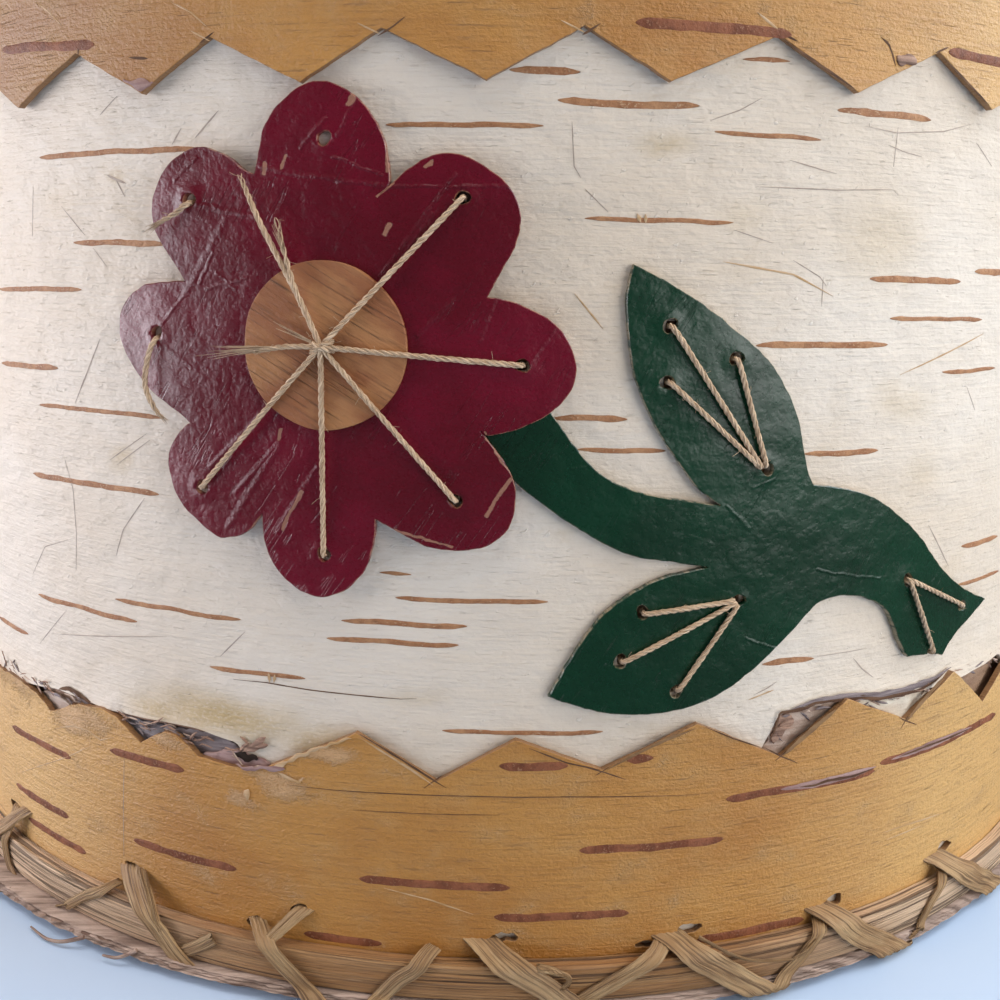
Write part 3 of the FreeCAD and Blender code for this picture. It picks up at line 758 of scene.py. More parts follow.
def centre_bark():
    """The flower's middle: tan bark with slanting grain."""
    recipe = Recipe("centre_bark", roughness=0.4, specular=0.4)
    along, up, _ = recipe.place()
    slant = along * 0.86 - up * 0.5
    across = along * 0.5 + up * 0.86
    grain = recipe.noise(slant * 0.10, across * 1.3, 3.0, detail=6.0, roughness=0.6)
    lines = recipe.noise(slant * 0.08, across * 2.6, 6.0, detail=4.0).rise(0.60, 0.68)
    patches = recipe.noise(slant * 0.13, across * 0.22, 9.0, detail=5.0)
    speckle = recipe.noise(slant * 1.4, across * 1.8, 5.0, detail=4.0, roughness=0.7)
    colour = recipe.blend(patches.rise(0.40, 0.62), (0.34, 0.125, 0.048), (0.46, 0.205, 0.078))
    colour = recipe.blend(grain.rise(0.5, 0.75) * 0.6, colour, (0.14, 0.058, 0.026))
    colour = recipe.blend(lines * 0.35, colour, (0.085, 0.036, 0.018))
    colour = recipe.blend(speckle.rise(0.62, 0.75) * 0.3, colour, (0.45, 0.28, 0.14))
    return recipe.done(colour, grain + speckle * 0.5 - lines * 0.5, 0.32)


# %% [markdown]
# ## Places of stains, creases and chips
# A stain or rubbed spot is a middle and half sizes. A crease or chip is a stroke from one place
# to another, and its width. They are placed one by one, because such marks follow no rule.

# %% Places of stains, creases and chips
white_stains = [   # middle, half sizes and share
    ((-37, 30), (20, 5.6), 0.95), ((-48, 29), (10, 3.6), 0.75), ((-23, 28), (9, 5), 0.8),
    ((18.1, 102.9), (5, 2.2), 0.5), ((48.6, 93), (11, 9), 0.32), ((-52.6, 63.3), (3.2, 2.4), 0.5),
    ((-11.1, 35.2), (7, 2), 0.25), ((55, 72), (9, 4), 0.3), ((29, 96), (5, 3), 0.25),
    ((-62, 97), (7, 4), 0.2), ((-50.6, 99.2), (2, 1.4), 0.5), ((60, 63), (6, 5), 0.25),
]
gold_worn = [   # rubbed pale places on the foot band, as (along, up) and half sizes
    ((-80, 26.5), (14, 4)), ((-64, 24.5), (11, 4.5)), ((-46, 25.5), (7, 2.6)), ((-29, 22.5), (7, 3.5)),
    ((-22, 27.5), (7, 2.5)), ((-34, 19), (4, 2.5)),
]
petal_creases = [
    ((-38.8, 85.3), (-33.2, 93.7), 0.7), ((-36.9, 86.4), (-34.9, 90.1), 0.4),
    ((-37.2, 95.7), (-28.7, 94), 0.5), ((-39.9, 98.4), (-36.7, 100.9), 0.4),
    ((-28.4, 99.7), (-22, 98.7), 0.4), ((-22, 98.7), (-13.2, 97.5), 0.4),
    ((-23.6, 101.6), (-20.6, 104.8), 0.4), ((-19.1, 103), (-17, 106.7), 0.35),
    ((-19.6, 100.7), (-13.9, 98.9), 0.3), ((-14.1, 87.7), (-5.9, 98.8), 0.35),
    ((-11.6, 89.8), (-8.2, 94.7), 0.4), ((-13.2, 97.6), (0.4, 97.6), 0.3),
    ((-10.1, 80.8), (-5.9, 85), 0.4), ((2.4, 77), (5.9, 82.2), 0.4), ((-2.8, 80.5), (-1.1, 85.1), 0.4),
    ((-41.9, 78.5), (-38.6, 76.3), 0.5), ((-42.5, 81.5), (-38.8, 85.3), 0.4),
    ((-34.2, 56.6), (-26.8, 67.5), 0.7), ((-32.9, 61.1), (-27.5, 67.1), 0.5),
    ((-36.5, 64), (-29.4, 70.7), 0.5), ((-27.7, 56.3), (-22, 64.9), 0.6),
    ((-36, 85.8), (-30.6, 87.1), 0.4), ((-34.6, 87.6), (-32, 85.9), 0.3),
]
petal_chips = [
    ((-17.6, 106.6), (-17, 107.8), 0.8), ((-25.7, 99.8), (-25.3, 100.8), 0.6),
    ((-28, 99), (-27.8, 100.1), 0.6), ((-13.7, 92.3), (-13.1, 93.4), 0.6),
    ((-9, 99.8), (-8.4, 100.1), 0.6), ((-26.9, 68.1), (-26.7, 69.2), 0.5),
    ((-1.8, 59.7), (0.8, 64.1), 0.55), ((-26.9, 56.7), (-24.2, 61.7), 0.5),
    ((-12.7, 97.9), (-14.6, 96.4), 0.3), ((-2.2, 69.7), (1.1, 64.7), 0.3),
    ((-12.8, 57.6), (-5.6, 55.9), 0.3), ((-13.5, 101.7), (-13.3, 99.3), 0.3),
]
stem_creases = [
    ((28, 60.5), (31.1, 57.6), 0.4), ((31.9, 43.1), (36.9, 41), 0.3), ((31.4, 62.7), (34.1, 63.6), 0.3),
    ((41.6, 51.4), (52.5, 49.2), 0.3), ((8.3, 65.5), (9.7, 65.6), 0.3),
]

# %% All materials
bark_white = white_bark()
bark_gold = golden_bark()
bark_gold_flat = golden_bark("golden_bark_flat", True)
bark_band = golden_bark("golden_band", half=(band_face - reach("lower_band")[0]) / 2)
bark_inner = brown_bark("inner_bark", (0.40, 0.25, 0.155), (0.27, 0.155, 0.095))
bark_inner_flat = brown_bark("inner_bark_flat", (0.40, 0.25, 0.155), (0.27, 0.155, 0.095), flat=True)
bark_base = brown_bark("base_bark", (0.60, 0.45, 0.37), (0.21, 0.14, 0.108), flat=True)
bark_flake = brown_bark("base_flake", (0.44, 0.31, 0.24), (0.20, 0.12, 0.09), grain=1.6)
bark_torn_grey = brown_bark("torn_grey", (0.30, 0.235, 0.225), (0.145, 0.105, 0.10), grain=2.0)
bark_torn_pale = brown_bark("torn_pale", (0.60, 0.47, 0.38), (0.40, 0.27, 0.20), grain=1.2)
bark_torn_blue = brown_bark("torn_blue", (0.42, 0.37, 0.37), (0.24, 0.20, 0.21), grain=1.6)
bark_torn_pink = brown_bark("torn_pink", (0.46, 0.30, 0.27), (0.26, 0.14, 0.12), grain=1.2)
bark_torn_tan = brown_bark("torn_tan", (0.56, 0.42, 0.33), (0.40, 0.26, 0.19), grain=1.2)
bark_torn_brown = brown_bark("torn_brown", (0.42, 0.25, 0.17), (0.17, 0.09, 0.06), grain=2.0)
bark_torn_cream = brown_bark("torn_cream", (0.80, 0.70, 0.55), (0.66, 0.53, 0.40), grain=1.0)
bark_worn_tip = brown_bark("worn_tip", (0.62, 0.42, 0.25), (0.50, 0.29, 0.12), grain=1.0)
bark_hairline = brown_bark("hairline", (0.50, 0.39, 0.31), (0.38, 0.285, 0.22))
bark_shadow = brown_bark("dark_line", (0.17, 0.09, 0.05), (0.09, 0.045, 0.028), specular=0.1)
# Painted shade for the shaded cut edges of curled teeth.
bark_slope_shade = brown_bark("slope_shade_line", (0.30, 0.165, 0.07), (0.20, 0.10, 0.04))
# Painted shade: near-black bark that stands for the shade inside holes and gaps.
bark_hole_shade = brown_bark("painted_hole_shade", (0.045, 0.028, 0.020), (0.02, 0.012, 0.010), specular=0.1)
pore_white = lenticel("white_lenticel", (0.50, 0.25, 0.115), (0.37, 0.155, 0.065), (0.62, 0.42, 0.25))
pore_gold = lenticel("golden_lenticel", (0.31, 0.105, 0.045), (0.18, 0.052, 0.020), (0.42, 0.22, 0.12))
pore_edge = brown_bark("purple_bark", (0.44, 0.28, 0.24), (0.26, 0.14, 0.12), grain=1.0)
paint_maroon = paint("maroon_paint", (0.150, 0.0012, 0.014), (0.105, 0.0008, 0.008),
                     (0.34, 0.15, 0.09), 0.2, petal_creases, petal_chips)
paint_green = paint("green_paint", (0.0, 0.036, 0.014), (0.0, 0.026, 0.010),
                    (0.30, 0.24, 0.15), 0.3, stem_creases, leather=0.2)
wood_split = split_wood()
root_strip = lashing_strip()
fibre = twine_fibre()
bark_centre = centre_bark()
print("materials", len(bpy.data.materials))

# %% Materials for the nodes that are shown as they are
node_looks = {
    bark_gold: ["lid_handle"],
    bark_gold_flat: ["lid_top_disc"],
    bark_inner: ["inner_wall", "lid_flange"],
    bark_inner_flat: ["base_floor", "lid_under_disc"],
    bark_flake: ["wall_seam_lacing", "lid_flange_stitches"],
}
for material, nodes in node_looks.items():
    for node in nodes:
        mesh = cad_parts[node].data
        mesh.materials.clear()
        mesh.materials.append(material)


# %% [markdown]
# ## White sheet and golden bands
# The white sheet goes round the box, and a golden band with cut teeth lies over it at the foot and
# at the head. Cloth physics could curl their edges. Here `band_lift` and `torn_lift` say how far
# each place stands off the wall, so that marks and fibres on the sheets can follow them.

# %% How far each sheet stands off
def band_lift(along, up):
    """The teeth of both bands curl outwards at their tips, unevenly."""
    tip = near(up, 31.5, 60, 7.0) if up < 60 else near(up, 60, 110.5, 6.0)
    return tip * tip * (0.35 + 0.25 * ripple((along, 0, 0), 16.0, 5.0))


def torn_lift(along, up):
    """The torn edge of the white sheet curls outwards."""
    right = near(along, 40, 88, 6) * near(up, 20, 31.4, 3.0)
    left = near(along, -86, -38, 6) * near(up, 20, 27.0, 2.5)
    return (0.75 * right + 0.55 * left) * (1 + 0.5 * ripple((along, up, 0), 6.0, 2.0))


def raggedness(along, up):
    """The torn edges are rougher than the cut ones."""
    torn = near(along, -96, -31, 1) * near(up, 20, 29, 0.5) + near(along, 33, 97, 1) * near(up, 20, 34, 0.5)
    return 0.1 + 0.75 * min(1.0, torn)


# %% Awl holes of the front, and the worn teeth at its left
front_half = 95      # the front reaches this far along to either side
awl_hole_top = 8     # all the lashing's holes lie below this
front_awl_holes = [   # along, up, half length and half height
    (-84.1, 3.6, 2.2, 0.9), (-53.1, 4.3, 1.9, 0.75), (-32.8, 1.4, 1.3, 0.7), (-26.1, 4.5, 1.4, 0.7),
    (1.3, 2.9, 1.7, 0.8), (20.3, 1.1, 1.3, 0.5), (26.3, 2.6, 1.6, 0.75), (44.8, 0.7, 0.9, 0.7),
    (49.2, 2.4, 1.8, 0.75), (73.6, 3.7, 2.2, 0.8),
]


worn_line = [
    (-90, 40), (-89.9, 26.4), (-81, 26.8), (-78.5, 26.6), (-74, 25.9), (-71.4, 24.8), (-70.5, 24),
    (-68.3, 24.7), (-65.7, 26), (-63.2, 27), (-58.1, 27.6), (-55.1, 27), (-52.6, 25.4), (-50.6, 24),
    (-48.1, 25.6), (-46, 26.8), (-44.3, 26.5), (-42.7, 25.6), (-40.8, 24.2), (-38, 23.9), (-35.6, 23.7),
    (-32.2, 23.6), (-30.4, 24.4), (-30.3, 40),
]


def worn_top(along):
    """How high the worn teeth at the left of the front still reach."""
    for (start, low), (end, high) in zip(worn_line, worn_line[1:]):
        if start <= along <= end:
            return low + (high - low) * (along - start) / (end - start)
    return 1000.0


def keeps(loop):
    """Whether a hole of a CAD sheet is kept: those of the front's lashing have their own shapes."""
    middle = sum(point[0] for point in loop) / len(loop)
    high = max(point[1] for point in loop)
    return not (abs(middle) < front_half and high < awl_hole_top)


# %% The white sheet
loops = outlines_of("outer_wall")
outlines = [worn(loops[0], 0.7, raggedness, 1.6, 4.0)]
outlines += [rounded(loop) for loop in loops[1:] if keeps(loop)]
thickness = wall_radius - reach("outer_wall")[0]
sheet = cut_sheet(outlines, wall_radius - thickness, thickness, 0.1, 2.4, torn_lift)
finished("white_sheet", sheet, bark_white, "box", ["outer_wall"], 40)

# %% The golden bands
thickness = band_face - reach("lower_band")[0]
for name, node in (("golden_foot_band", "lower_band"), ("golden_head_band", "upper_band")):
    loops = outlines_of(node)
    outlines = [worn(loops[0], 0.9, 0.12, 1.8, 9.0)]
    if node == "lower_band":
        outlines[0] = [(along, min(up, worn_top(along) + 0.2 * ripple((along, 0, 4), 0.9)))
                       for along, up in outlines[0]]
    outlines += [worn(rounded(loop), 0.6, 0.15, 1.2) for loop in loops[1:] if keeps(loop)]
    if node == "lower_band":
        outlines += [worn(round_hole(along, up, half, along, high / half), 0.5, 0.3, 1.0, along)
                     for along, up, half, high in front_awl_holes if up - high > 0.1]
    sheet = cut_sheet(outlines, band_face - thickness, thickness, 0.07, 2.0, band_lift)
    finished(name, sheet, bark_band, "box", [node], 40)

# %% [markdown]
# ## Torn layers
# Where the white sheet has torn, older layers show below its edge. They could be sculpted. Small
# ragged sheets at slightly different depths give the same steps, and each keeps its own colour.

# %% Patches of thin bark
def patch(name, outlines, inside, thickness, material, ragged, lift=None):
    """Small ragged pieces of bark that lie on the wall."""
    rough = [worn(rounded(outline, 1), 0.5, ragged, 1.1, 3.0 + number)
             for number, outline in enumerate(outlines)]
    sheet = cut_sheet(rough, inside, thickness, min(0.04, thickness / 3), 1.0, lift)
    finished(name, sheet, material, "box", (), 50)


def unevenly(along, up):
    """How far the torn layers stand off."""
    return 0.25 * ripple((along, up, 2), 2.0)


torn_patches = {   # the radius inside, the thickness, the material and the outlines
    "torn_dark_layer": (109.35, 0.5, bark_torn_grey, [
        [(-47.2, 26.9), (-43.7, 27.2), (-39.3, 27.3), (-36.1, 26.9), (-34.6, 25.4), (-35, 23.4),
         (-40.5, 22.6), (-45, 22.6), (-47.9, 24.4)],
        [(-92, 26.5), (-86, 28), (-78, 27.4), (-75.5, 25.5), (-79, 24), (-90, 24)]]),
    "torn_blue_layer": (109.3, 0.5, bark_torn_blue, [
        [(-60.5, 27.2), (-56.6, 27.2), (-54.6, 26.9), (-50.8, 26.9), (-46.5, 26.8), (-46, 23.4),
         (-51.6, 22.1), (-58, 23), (-60.5, 25)]]),
    "torn_pink_lumps": (109.6, 0.7, bark_torn_pink, [
        [(-42, 23.3), (-39.2, 24.6), (-36, 25.6), (-33.4, 25.5), (-31.4, 25.1), (-29.7, 24.4),
         (-31, 22.4), (-39.3, 22.2)],
        [(-56.5, 26.6), (-54.9, 26.8), (-53.2, 26.1), (-54.4, 24.9), (-56.6, 25.4)]]),
    # Painted shade: a dark sheet stands for the shade in a hole among the torn layers.
    "torn_dark_hole": (110.35, 0.1, bark_hole_shade, [
        [(-35.6, 25.2), (-34.4, 25.7), (-33.3, 25.4), (-32.2, 25.7), (-31.7, 25), (-32.7, 24.8),
         (-33.4, 24.4), (-34.4, 24.9), (-35.2, 24.7)]]),
    "torn_pale_inner": (109.4, 0.5, bark_torn_pale, [
        [(-76.1, 25.3), (-71.1, 26.4), (-66.8, 26.1), (-66.8, 23.6), (-72.9, 22.8)],
        [(-43, 27.9), (-41.6, 28.4), (-40.6, 28), (-41.4, 27.5)]]),
    "torn_right_layer": (109.5, 0.5, bark_torn_tan, [
        [(37.3, 32), (40.4, 31.7), (44.7, 32.4), (49.4, 32.2), (51.4, 31.1), (45, 24), (38, 24),
         (35.8, 26.7), (36.8, 28.7)],
        [(70.5, 32.7), (75.9, 32.2), (81.3, 32), (89.3, 32), (92, 28), (86, 25.5), (79, 26.5),
         (74.1, 30)]]),
    "torn_right_curl": (109.9, 0.45, bark_torn_brown, [
        [(37.9, 31.8), (40, 31.5), (40.7, 30.7), (39.6, 29.5), (38.1, 28.3), (37.2, 27.8), (36.8, 28.7),
         (37.8, 30.5)]]),
    "torn_right_cream": (109.75, 0.5, bark_torn_cream, [
        [(50, 32), (52.3, 31.9), (55.3, 31.1), (59.5, 30.9), (63.9, 30.8), (67.8, 31.6), (70.6, 31),
         (64, 25), (57, 26)],
        [(78.2, 30.6), (80.5, 30.1), (81.9, 29), (80.1, 28.5), (78.4, 29.6)]]),
    "worn_tooth_tips": (band_face + 0.02, 0.10, bark_worn_tip, [
        [(-29.6, 24.6), (-25.5, 27), (-21.4, 29), (-18.3, 30.1), (-18.4, 29.7), (-21.8, 28.4),
         (-25.4, 26.5), (-28.8, 24.2)]]),
    "worn_pink_edge": (band_face + 0.02, 0.12, bark_torn_pink, [
        [(-35, 24), (-33.1, 24.2), (-30.2, 24.6), (-28.4, 24.9), (-27.4, 24.5), (-29.4, 23.9), (-31, 24),
         (-32.6, 23.5), (-34.4, 23.7)]]),
    "chipped_edge": (band_face + 0.02, 0.14, bark_torn_brown, [
        [(47.1, 114.6), (48.4, 114.9), (50.3, 114.6), (50.2, 113.9), (48.5, 113.5), (47.3, 113.7)]]),
    "peeled_flakes": (band_face + 0.02, 0.16, bark_worn_tip, [
        [(-33.9, 20.3), (-33, 20.7), (-32.8, 19.8), (-33.4, 19.3)],
        [(-30.4, 17.8), (-29.8, 18.9), (-29.3, 18.7), (-29.8, 17.4)]]),
    "purple_edge": (band_face + 0.02, 0.10, pore_edge, [
        [(-47.5, 110), (-45.6, 110.2), (-44, 110), (-42.4, 109.8), (-43.5, 109.1), (-44.5, 108.7),
         (-46, 109.4)],
        [(27.6, 1.6), (32.8, 0.7), (38, 0.1), (43.5, 0.4), (44.4, 0.4), (43.5, -0.9), (38.1, -1.1),
         (32.4, -0.4), (28.4, 0.7)],
        [(18.5, 0.2), (19.9, 1), (22.2, 1.3), (23.5, 1.6), (21.3, 0.4), (19.5, -0.2)]]),
}
for name, (inside, thickness, material, shapes) in torn_patches.items():
    if inside < band_face:
        patch(name, shapes, inside, thickness, material, 0.4, unevenly)
    else:
        patch(name, shapes, inside, thickness, material, 0.45, band_lift)

# Painted shade: a dark sheet behind the front's awl holes stands for the shade inside them.
backing = [round_hole(along, up, half + 0.5, 1.0, (high + 0.5) / (half + 0.5))
           for along, up, half, high in front_awl_holes]
patch("dark_behind_awl_holes", backing, wall_radius + 0.02, 0.05, bark_hole_shade, 0.1)

# %% [markdown]
# ## Painted flower
# The flower is one sheet of thin bark, sewn on. A curve object could draw it. Lists of strokes keep
# the notches sharp where two strokes meet, and a few points make the round ends. Each petal runs
# clockwise from the notch before it to the notch after it.

# %% Petals
petal_strokes = [
    [(-29.2, 99), (-28.7, 101), (-27.7, 104.5), (-25.3, 107.2), (-22.4, 108.8), (-19.4, 108.7),
     (-16.5, 106.9), (-14.6, 104.5), (-13.6, 102), (-13.1, 98)],
    [(-14.4, 96.6), (-12.2, 98.5), (-9.7, 100.4), (-7.3, 101.2), (-4.9, 101), (-1.9, 99.5), (0.5, 97.3),
     (1.6, 94.6), (1.2, 91.6), (0, 89.2)],
    [(-2, 85.5), (1, 84.9), (3.9, 83.7), (5.8, 82.5), (7.5, 80.3), (8.3, 77.8), (8, 75.3), (6.3, 72.9),
     (3.9, 71.2), (1, 70), (-1.7, 69.4)],
    [(-2.6, 70), (-1, 67.9), (0.7, 65.5), (1.6, 63), (1.4, 59.6), (0, 57.1), (-2.4, 55.7), (-5.4, 55.3),
     (-8.8, 55.7), (-11.7, 57.1)],
    [(-15, 58.8), (-15.3, 55.6), (-16.5, 52.2), (-18.5, 49.9), (-20.9, 48.8), (-22.8, 48.6),
     (-25.3, 49.5), (-27.7, 51.7), (-29.1, 54.6)],
    [(-29.5, 58.6), (-31.6, 56.1), (-34, 55.2), (-35.9, 55.2), (-38.6, 56.9), (-41, 59.1), (-42.2, 61.6),
     (-42.6, 64.5), (-41.7, 67), (-39.8, 69)],
    [(-39, 69.3), (-41.2, 70.9), (-45, 73.2), (-47.9, 76.4), (-49.4, 79.3), (-49.3, 82.3), (-47.7, 84.5),
     (-45, 86.1), (-42.2, 86.5)],
    [(-39, 86.7), (-41.2, 89.7), (-43.1, 92.6), (-43.4, 95.6), (-42.4, 98), (-40.7, 100.2),
     (-38.3, 101.7), (-35.9, 102.1), (-33, 101.2), (-30.6, 99.5)],
]
petal_holes = {
    "north": (-20.6, 102.8), "north_east": (-4.9, 96.4), "east": (2.1, 77.7), "south_east": (-5.4, 61.5),
    "south": (-21.4, 54.1), "south_west": (-37.6, 61.4), "west": (-43.4, 80.3), "north_west": (-37.8, 96.1),
}
flower_middle = (-20.9, 79.4)
centre_radius = 9.9


def loop_of(strokes, steps=4):
    """One closed outline. Each stroke ends at a corner, where the next one begins."""
    found = []
    for number, stroke in enumerate(strokes):
        corner = strokes[(number + 1) % len(strokes)][0]
        found += [tuple(point) for point in smooth([*stroke, corner], steps)[:-1]]
    return found


def buckle(along, up):
    """How far the thin sheets stand off the wall: a little, unevenly, with a lip round each hole."""
    lips = 0.0
    for hole in [*petal_holes.values(), *leaf_holes]:
        far = math.hypot(along - hole[0], up - hole[1])
        if far < 2.4:
            lips += 0.22 * math.exp(-((far - 1.15) / 0.45) ** 2)
    return 0.14 * (1 + ripple((along, up, 0), 9.0, 3.0)) + 0.06 * ripple((along, up, 0), 3.0, 8.0) + lips


leaf_holes = [
    (19.4, 82.5), (28, 78.7), (19.4, 75.8), (33.1, 65.1), (17.7, 47.3), (15.1, 41), (22.6, 36.7),
    (30.3, 48.2), (71, 42.7), (64.6, 36.8), (57.8, 48.4),
]


def sewn_sheet(strokes, holes, hole_radius, inner, face, grid, lift):
    """A thin sheet with its sewing holes."""
    outlines = [worn(loop_of(strokes), 0.6, 0.1, 1.2)]
    outlines += [round_hole(*place, hole_radius, number) for number, place in enumerate(holes)]
    return cut_sheet(outlines, inner, face - inner, 0.12, grid, lift)


sheet = sewn_sheet(petal_strokes, petal_holes.values(), 0.8, petals_inner, petals_face, 0.7, buckle)
finished("painted_petals", sheet, paint_maroon, "box", ["flower_petals"], 40)

# %% The flower's middle
centre_outline = []
for step in range(64):
    angle = 2 * math.pi * step / 64
    size = centre_radius * (1 + 0.03 * ripple((math.cos(angle), math.sin(angle), 0), 0.6, 2.0))
    centre_outline.append((flower_middle[0] + size * math.cos(angle),
                           flower_middle[1] + size * math.sin(angle)))
thickness = centre_face - centre_inner
sheet = cut_sheet([centre_outline], centre_inner, thickness, 0.1, 1.5, buckle)
finished("bark_centre", sheet, bark_centre, "box", ["flower_centre"], 40)

# %% Stem and leaves
stem_strokes = [
    [(14.8, 89.5), (19.7, 87.1), (24.1, 84.6), (28.5, 81.5), (32.3, 78.6), (35.1, 75), (37.2, 71.1),
     (38.3, 67.2), (39.4, 64)],
    [(40.2, 62.7), (43.7, 62.2), (47, 61.5), (50.9, 60.1), (54.7, 57.8), (58.9, 54.9), (62.7, 51.3),
     (65.4, 48.9), (68.6, 46.7), (72.8, 44.5)],
    [(77.9, 42.5), (73.4, 40.1), (69.7, 38.1)],
    [(67.5, 35.8), (64.8, 36.5)],
    [(59.5, 37), (57.9, 38.9), (55.7, 42.5), (54.1, 44.7), (51.3, 46.3), (48.1, 47.3), (44.9, 47.5),
     (42.1, 46.8), (39.4, 44.3), (36.2, 41.3), (32.8, 38.5), (29.6, 36.3), (25.7, 34.7), (21.9, 33.9),
     (18, 33.7), (12.6, 34.3)],
    [(6.2, 36.4), (8.2, 40.2), (10.5, 44.1), (13.1, 47.4), (15.9, 49.5), (19.7, 51.5), (23.6, 52.4)],
    [(26, 52.8), (20.8, 53.7), (15.9, 54.6), (10.9, 57), (5.5, 60.6), (1.7, 63.6)],
    [(-3.5, 68.8)],
    [(3, 74.8), (6, 71.6), (8.2, 68.6), (10.9, 65.5), (14.2, 63.4), (18.6, 62), (23.6, 61.2)],
    [(27.1, 60.6), (24.1, 62.8), (21.4, 66.1), (18.6, 70), (16.5, 73.9), (15.1, 77.7), (14.4, 82.1),
     (14.1, 86)],
]
sheet = sewn_sheet(stem_strokes, leaf_holes, 0.85, stem_inner, stem_face, 0.8,
                   lambda along, up: 0.6 * buckle(along, up))
finished("painted_stem", sheet, paint_green, "box", ["stem_and_leaves"], 40)

# %% Behind the sewing holes: painted shade where there is a thread, and pale bark under the empty one
sewn = [round_hole(*place, 1.1, 1.0) for name, place in petal_holes.items() if name != "north"]
sewn += [round_hole(*place, 1.1, 1.0) for place in leaf_holes]
patch("dark_behind_sewing_holes", sewn, wall_radius + 0.02, 0.05, bark_hole_shade, 0.05)
empty_hole = [round_hole(-21.1, 102.6, 1.3, 1.0)]
empty_depth = 0.8 * (stem_face - stem_inner)
patch("pale_behind_empty_hole", empty_hole, petals_inner - 0.2, empty_depth, bark_torn_tan, 0.2)

# %% [markdown]
# ## Twine
# The picture is sewn with twine of three plies, and two threads have broken and frayed. Array and
# Curve modifiers could twist it. A loop that turns each ply about the path can also let the plies
# come apart and thin out towards a broken end.

# %% Laid twine
twine_radius = 0.345
ply_pitch = 3.0
twine_step = 0.28


def laid(pile, path, seed, plies=3, fuzz=9, thin_from=1.0):
    """Twisted plies along a path. After thin_from, a share of the length, they taper away."""
    chance = random.Random(seed)
    path = even(smooth(path, 8), twine_step)
    heading = (path[1] - path[0]).normalized()
    side = heading.orthogonal().normalized()
    frames = []
    for number, point in enumerate(path):
        ahead = (path[min(number + 1, len(path) - 1)] - path[max(number - 1, 0)]).normalized()
        side = (side - ahead * side.dot(ahead)).normalized()
        frames.append((point, side, ahead.cross(side)))
    for ply in range(plies):
        strand = []
        radii = []
        for number, (point, side, other) in enumerate(frames):
            share = number / (len(frames) - 1)
            loose = max(0.0, share - thin_from) / max(1e-6, 1 - thin_from) if thin_from < 1 else 0.0
            turn = 2 * math.pi * (number * twine_step / ply_pitch + ply / plies)
            swell = 1 + 0.12 * ripple((number * twine_step, ply, seed), 2.5)
            off = twine_radius * (0.5 + 0.2 * loose) * swell
            strand.append(point + (side * math.cos(turn) + other * math.sin(turn)) * off)
            radii.append(twine_radius * 0.56 * swell * (1 - 0.75 * loose))
        pile.tube(strand, radii, 7, seed + ply * 0.37)
    for _ in range(fuzz):
        point, side, other = chance.choice(frames)
        angle = chance.uniform(0, 2 * math.pi)
        away = side * math.cos(angle) + other * math.sin(angle)
        root = point + away * twine_radius * 0.8
        sweep = Vector([chance.uniform(-1, 1) for _ in range(3)]).normalized()
        length = chance.uniform(0.4, 1.1)
        bend = [root, root + (away + sweep).normalized() * length * 0.5,
                root + (away * 0.6 + sweep) * length]
        pile.tube(smooth(bend, 3), 0.03, 3, seed)


def frayed(pile, start, direction, length, count, spread, seed):
    """A tuft of loose fibres that leaves a thread's end."""
    chance = random.Random(seed)
    direction = direction.normalized()
    taper = [0.10 - 0.01 * step for step in range(9)]
    for _ in range(count):
        drift = Vector([chance.uniform(-1, 1) for _ in range(3)]) * spread
        size = length * chance.uniform(0.45, 1.0)
        bend = [start + drift * 0.2, start + direction * size * 0.5 + drift * size * 0.25,
                start + direction * size + drift * size * chance.uniform(0.3, 0.8)]
        pile.tube(smooth(bend, 4), taper, 4, chance.random())


def over_sheet(hole, end, bed):
    """A thread's path from down in a hole, over the sheet, to its other end."""
    over = bed + twine_radius + 0.1
    across = [(hole[0] + (end[0] - hole[0]) * share, hole[1] + (end[1] - hole[1]) * share)
              for share in (0.06, 0.3, 0.55, 0.8, 0.95)]
    points = [on_wall(*hole, wall_radius - 0.2), on_wall(*hole, over - 0.2)]
    points += [on_wall(along, up, over + 0.15) for along, up in across]
    return points + [on_wall(*end, over)]


# %% Flower's threads
petal_twine = Pile()
crest = centre_face + twine_radius + 0.15
for number, name in enumerate(["north_east", "east", "south_east", "south", "south_west"]):
    hole = petal_holes[name]
    away = Vector(hole) - Vector(flower_middle)
    edge = Vector(flower_middle) + away.normalized() * (centre_radius + 0.4)
    path = [on_wall(*hole, wall_radius - 0.2), on_wall(*hole, petals_face + 0.2)]
    path.append(on_wall(*(Vector(hole) - away.normalized() * 1.5), petals_face + twine_radius + 0.1))
    path.append(on_wall(*edge, crest - 0.1))
    path.append(on_wall(*flower_middle, crest + 0.4))
    laid(petal_twine, path, 20 + number)
knot_point = on_wall(*flower_middle, crest + 0.3)

# %% The knot, and the ends that broke off it
for lean in (0.7, -0.5):
    across = [on_wall(flower_middle[0] + side * 1.3, flower_middle[1] + side * lean, crest - 0.2 + lift)
              for side, lift in ((-1, 0.0), (-0.4, 0.9), (0.4, 0.9), (1, 0.0))]
    laid(petal_twine, across, 31 + lean, fuzz=8)
tail = [flower_middle, (-25.0, 79.3), (-29.0, 78.6)]
path = [on_wall(*place, crest + 0.5 + 0.2 * number) for number, place in enumerate(tail)]
laid(petal_twine, path, 46, thin_from=0.5)
frayed(petal_twine, path[1], path[-1] - path[0], 10.0, 34, 0.16, 47)
frayed(petal_twine, knot_point, on_wall(-26.3, 81.9, crest + 0.8) - knot_point, 6.0, 20, 0.14, 48)


# %% Two threads that broke off the knot, and the stubs of two at the left petals
def broken(places, above, seed, thin_from, tuft, plies=3):
    """A thread that thins out, and the tuft at its end, as length, count and spread."""
    path = [on_wall(*place, radius) for place, radius in zip(places, above)]
    laid(petal_twine, path, seed, plies=plies, thin_from=thin_from)
    frayed(petal_twine, path[-2], path[-1] - path[-2], *tuft, seed + 1)


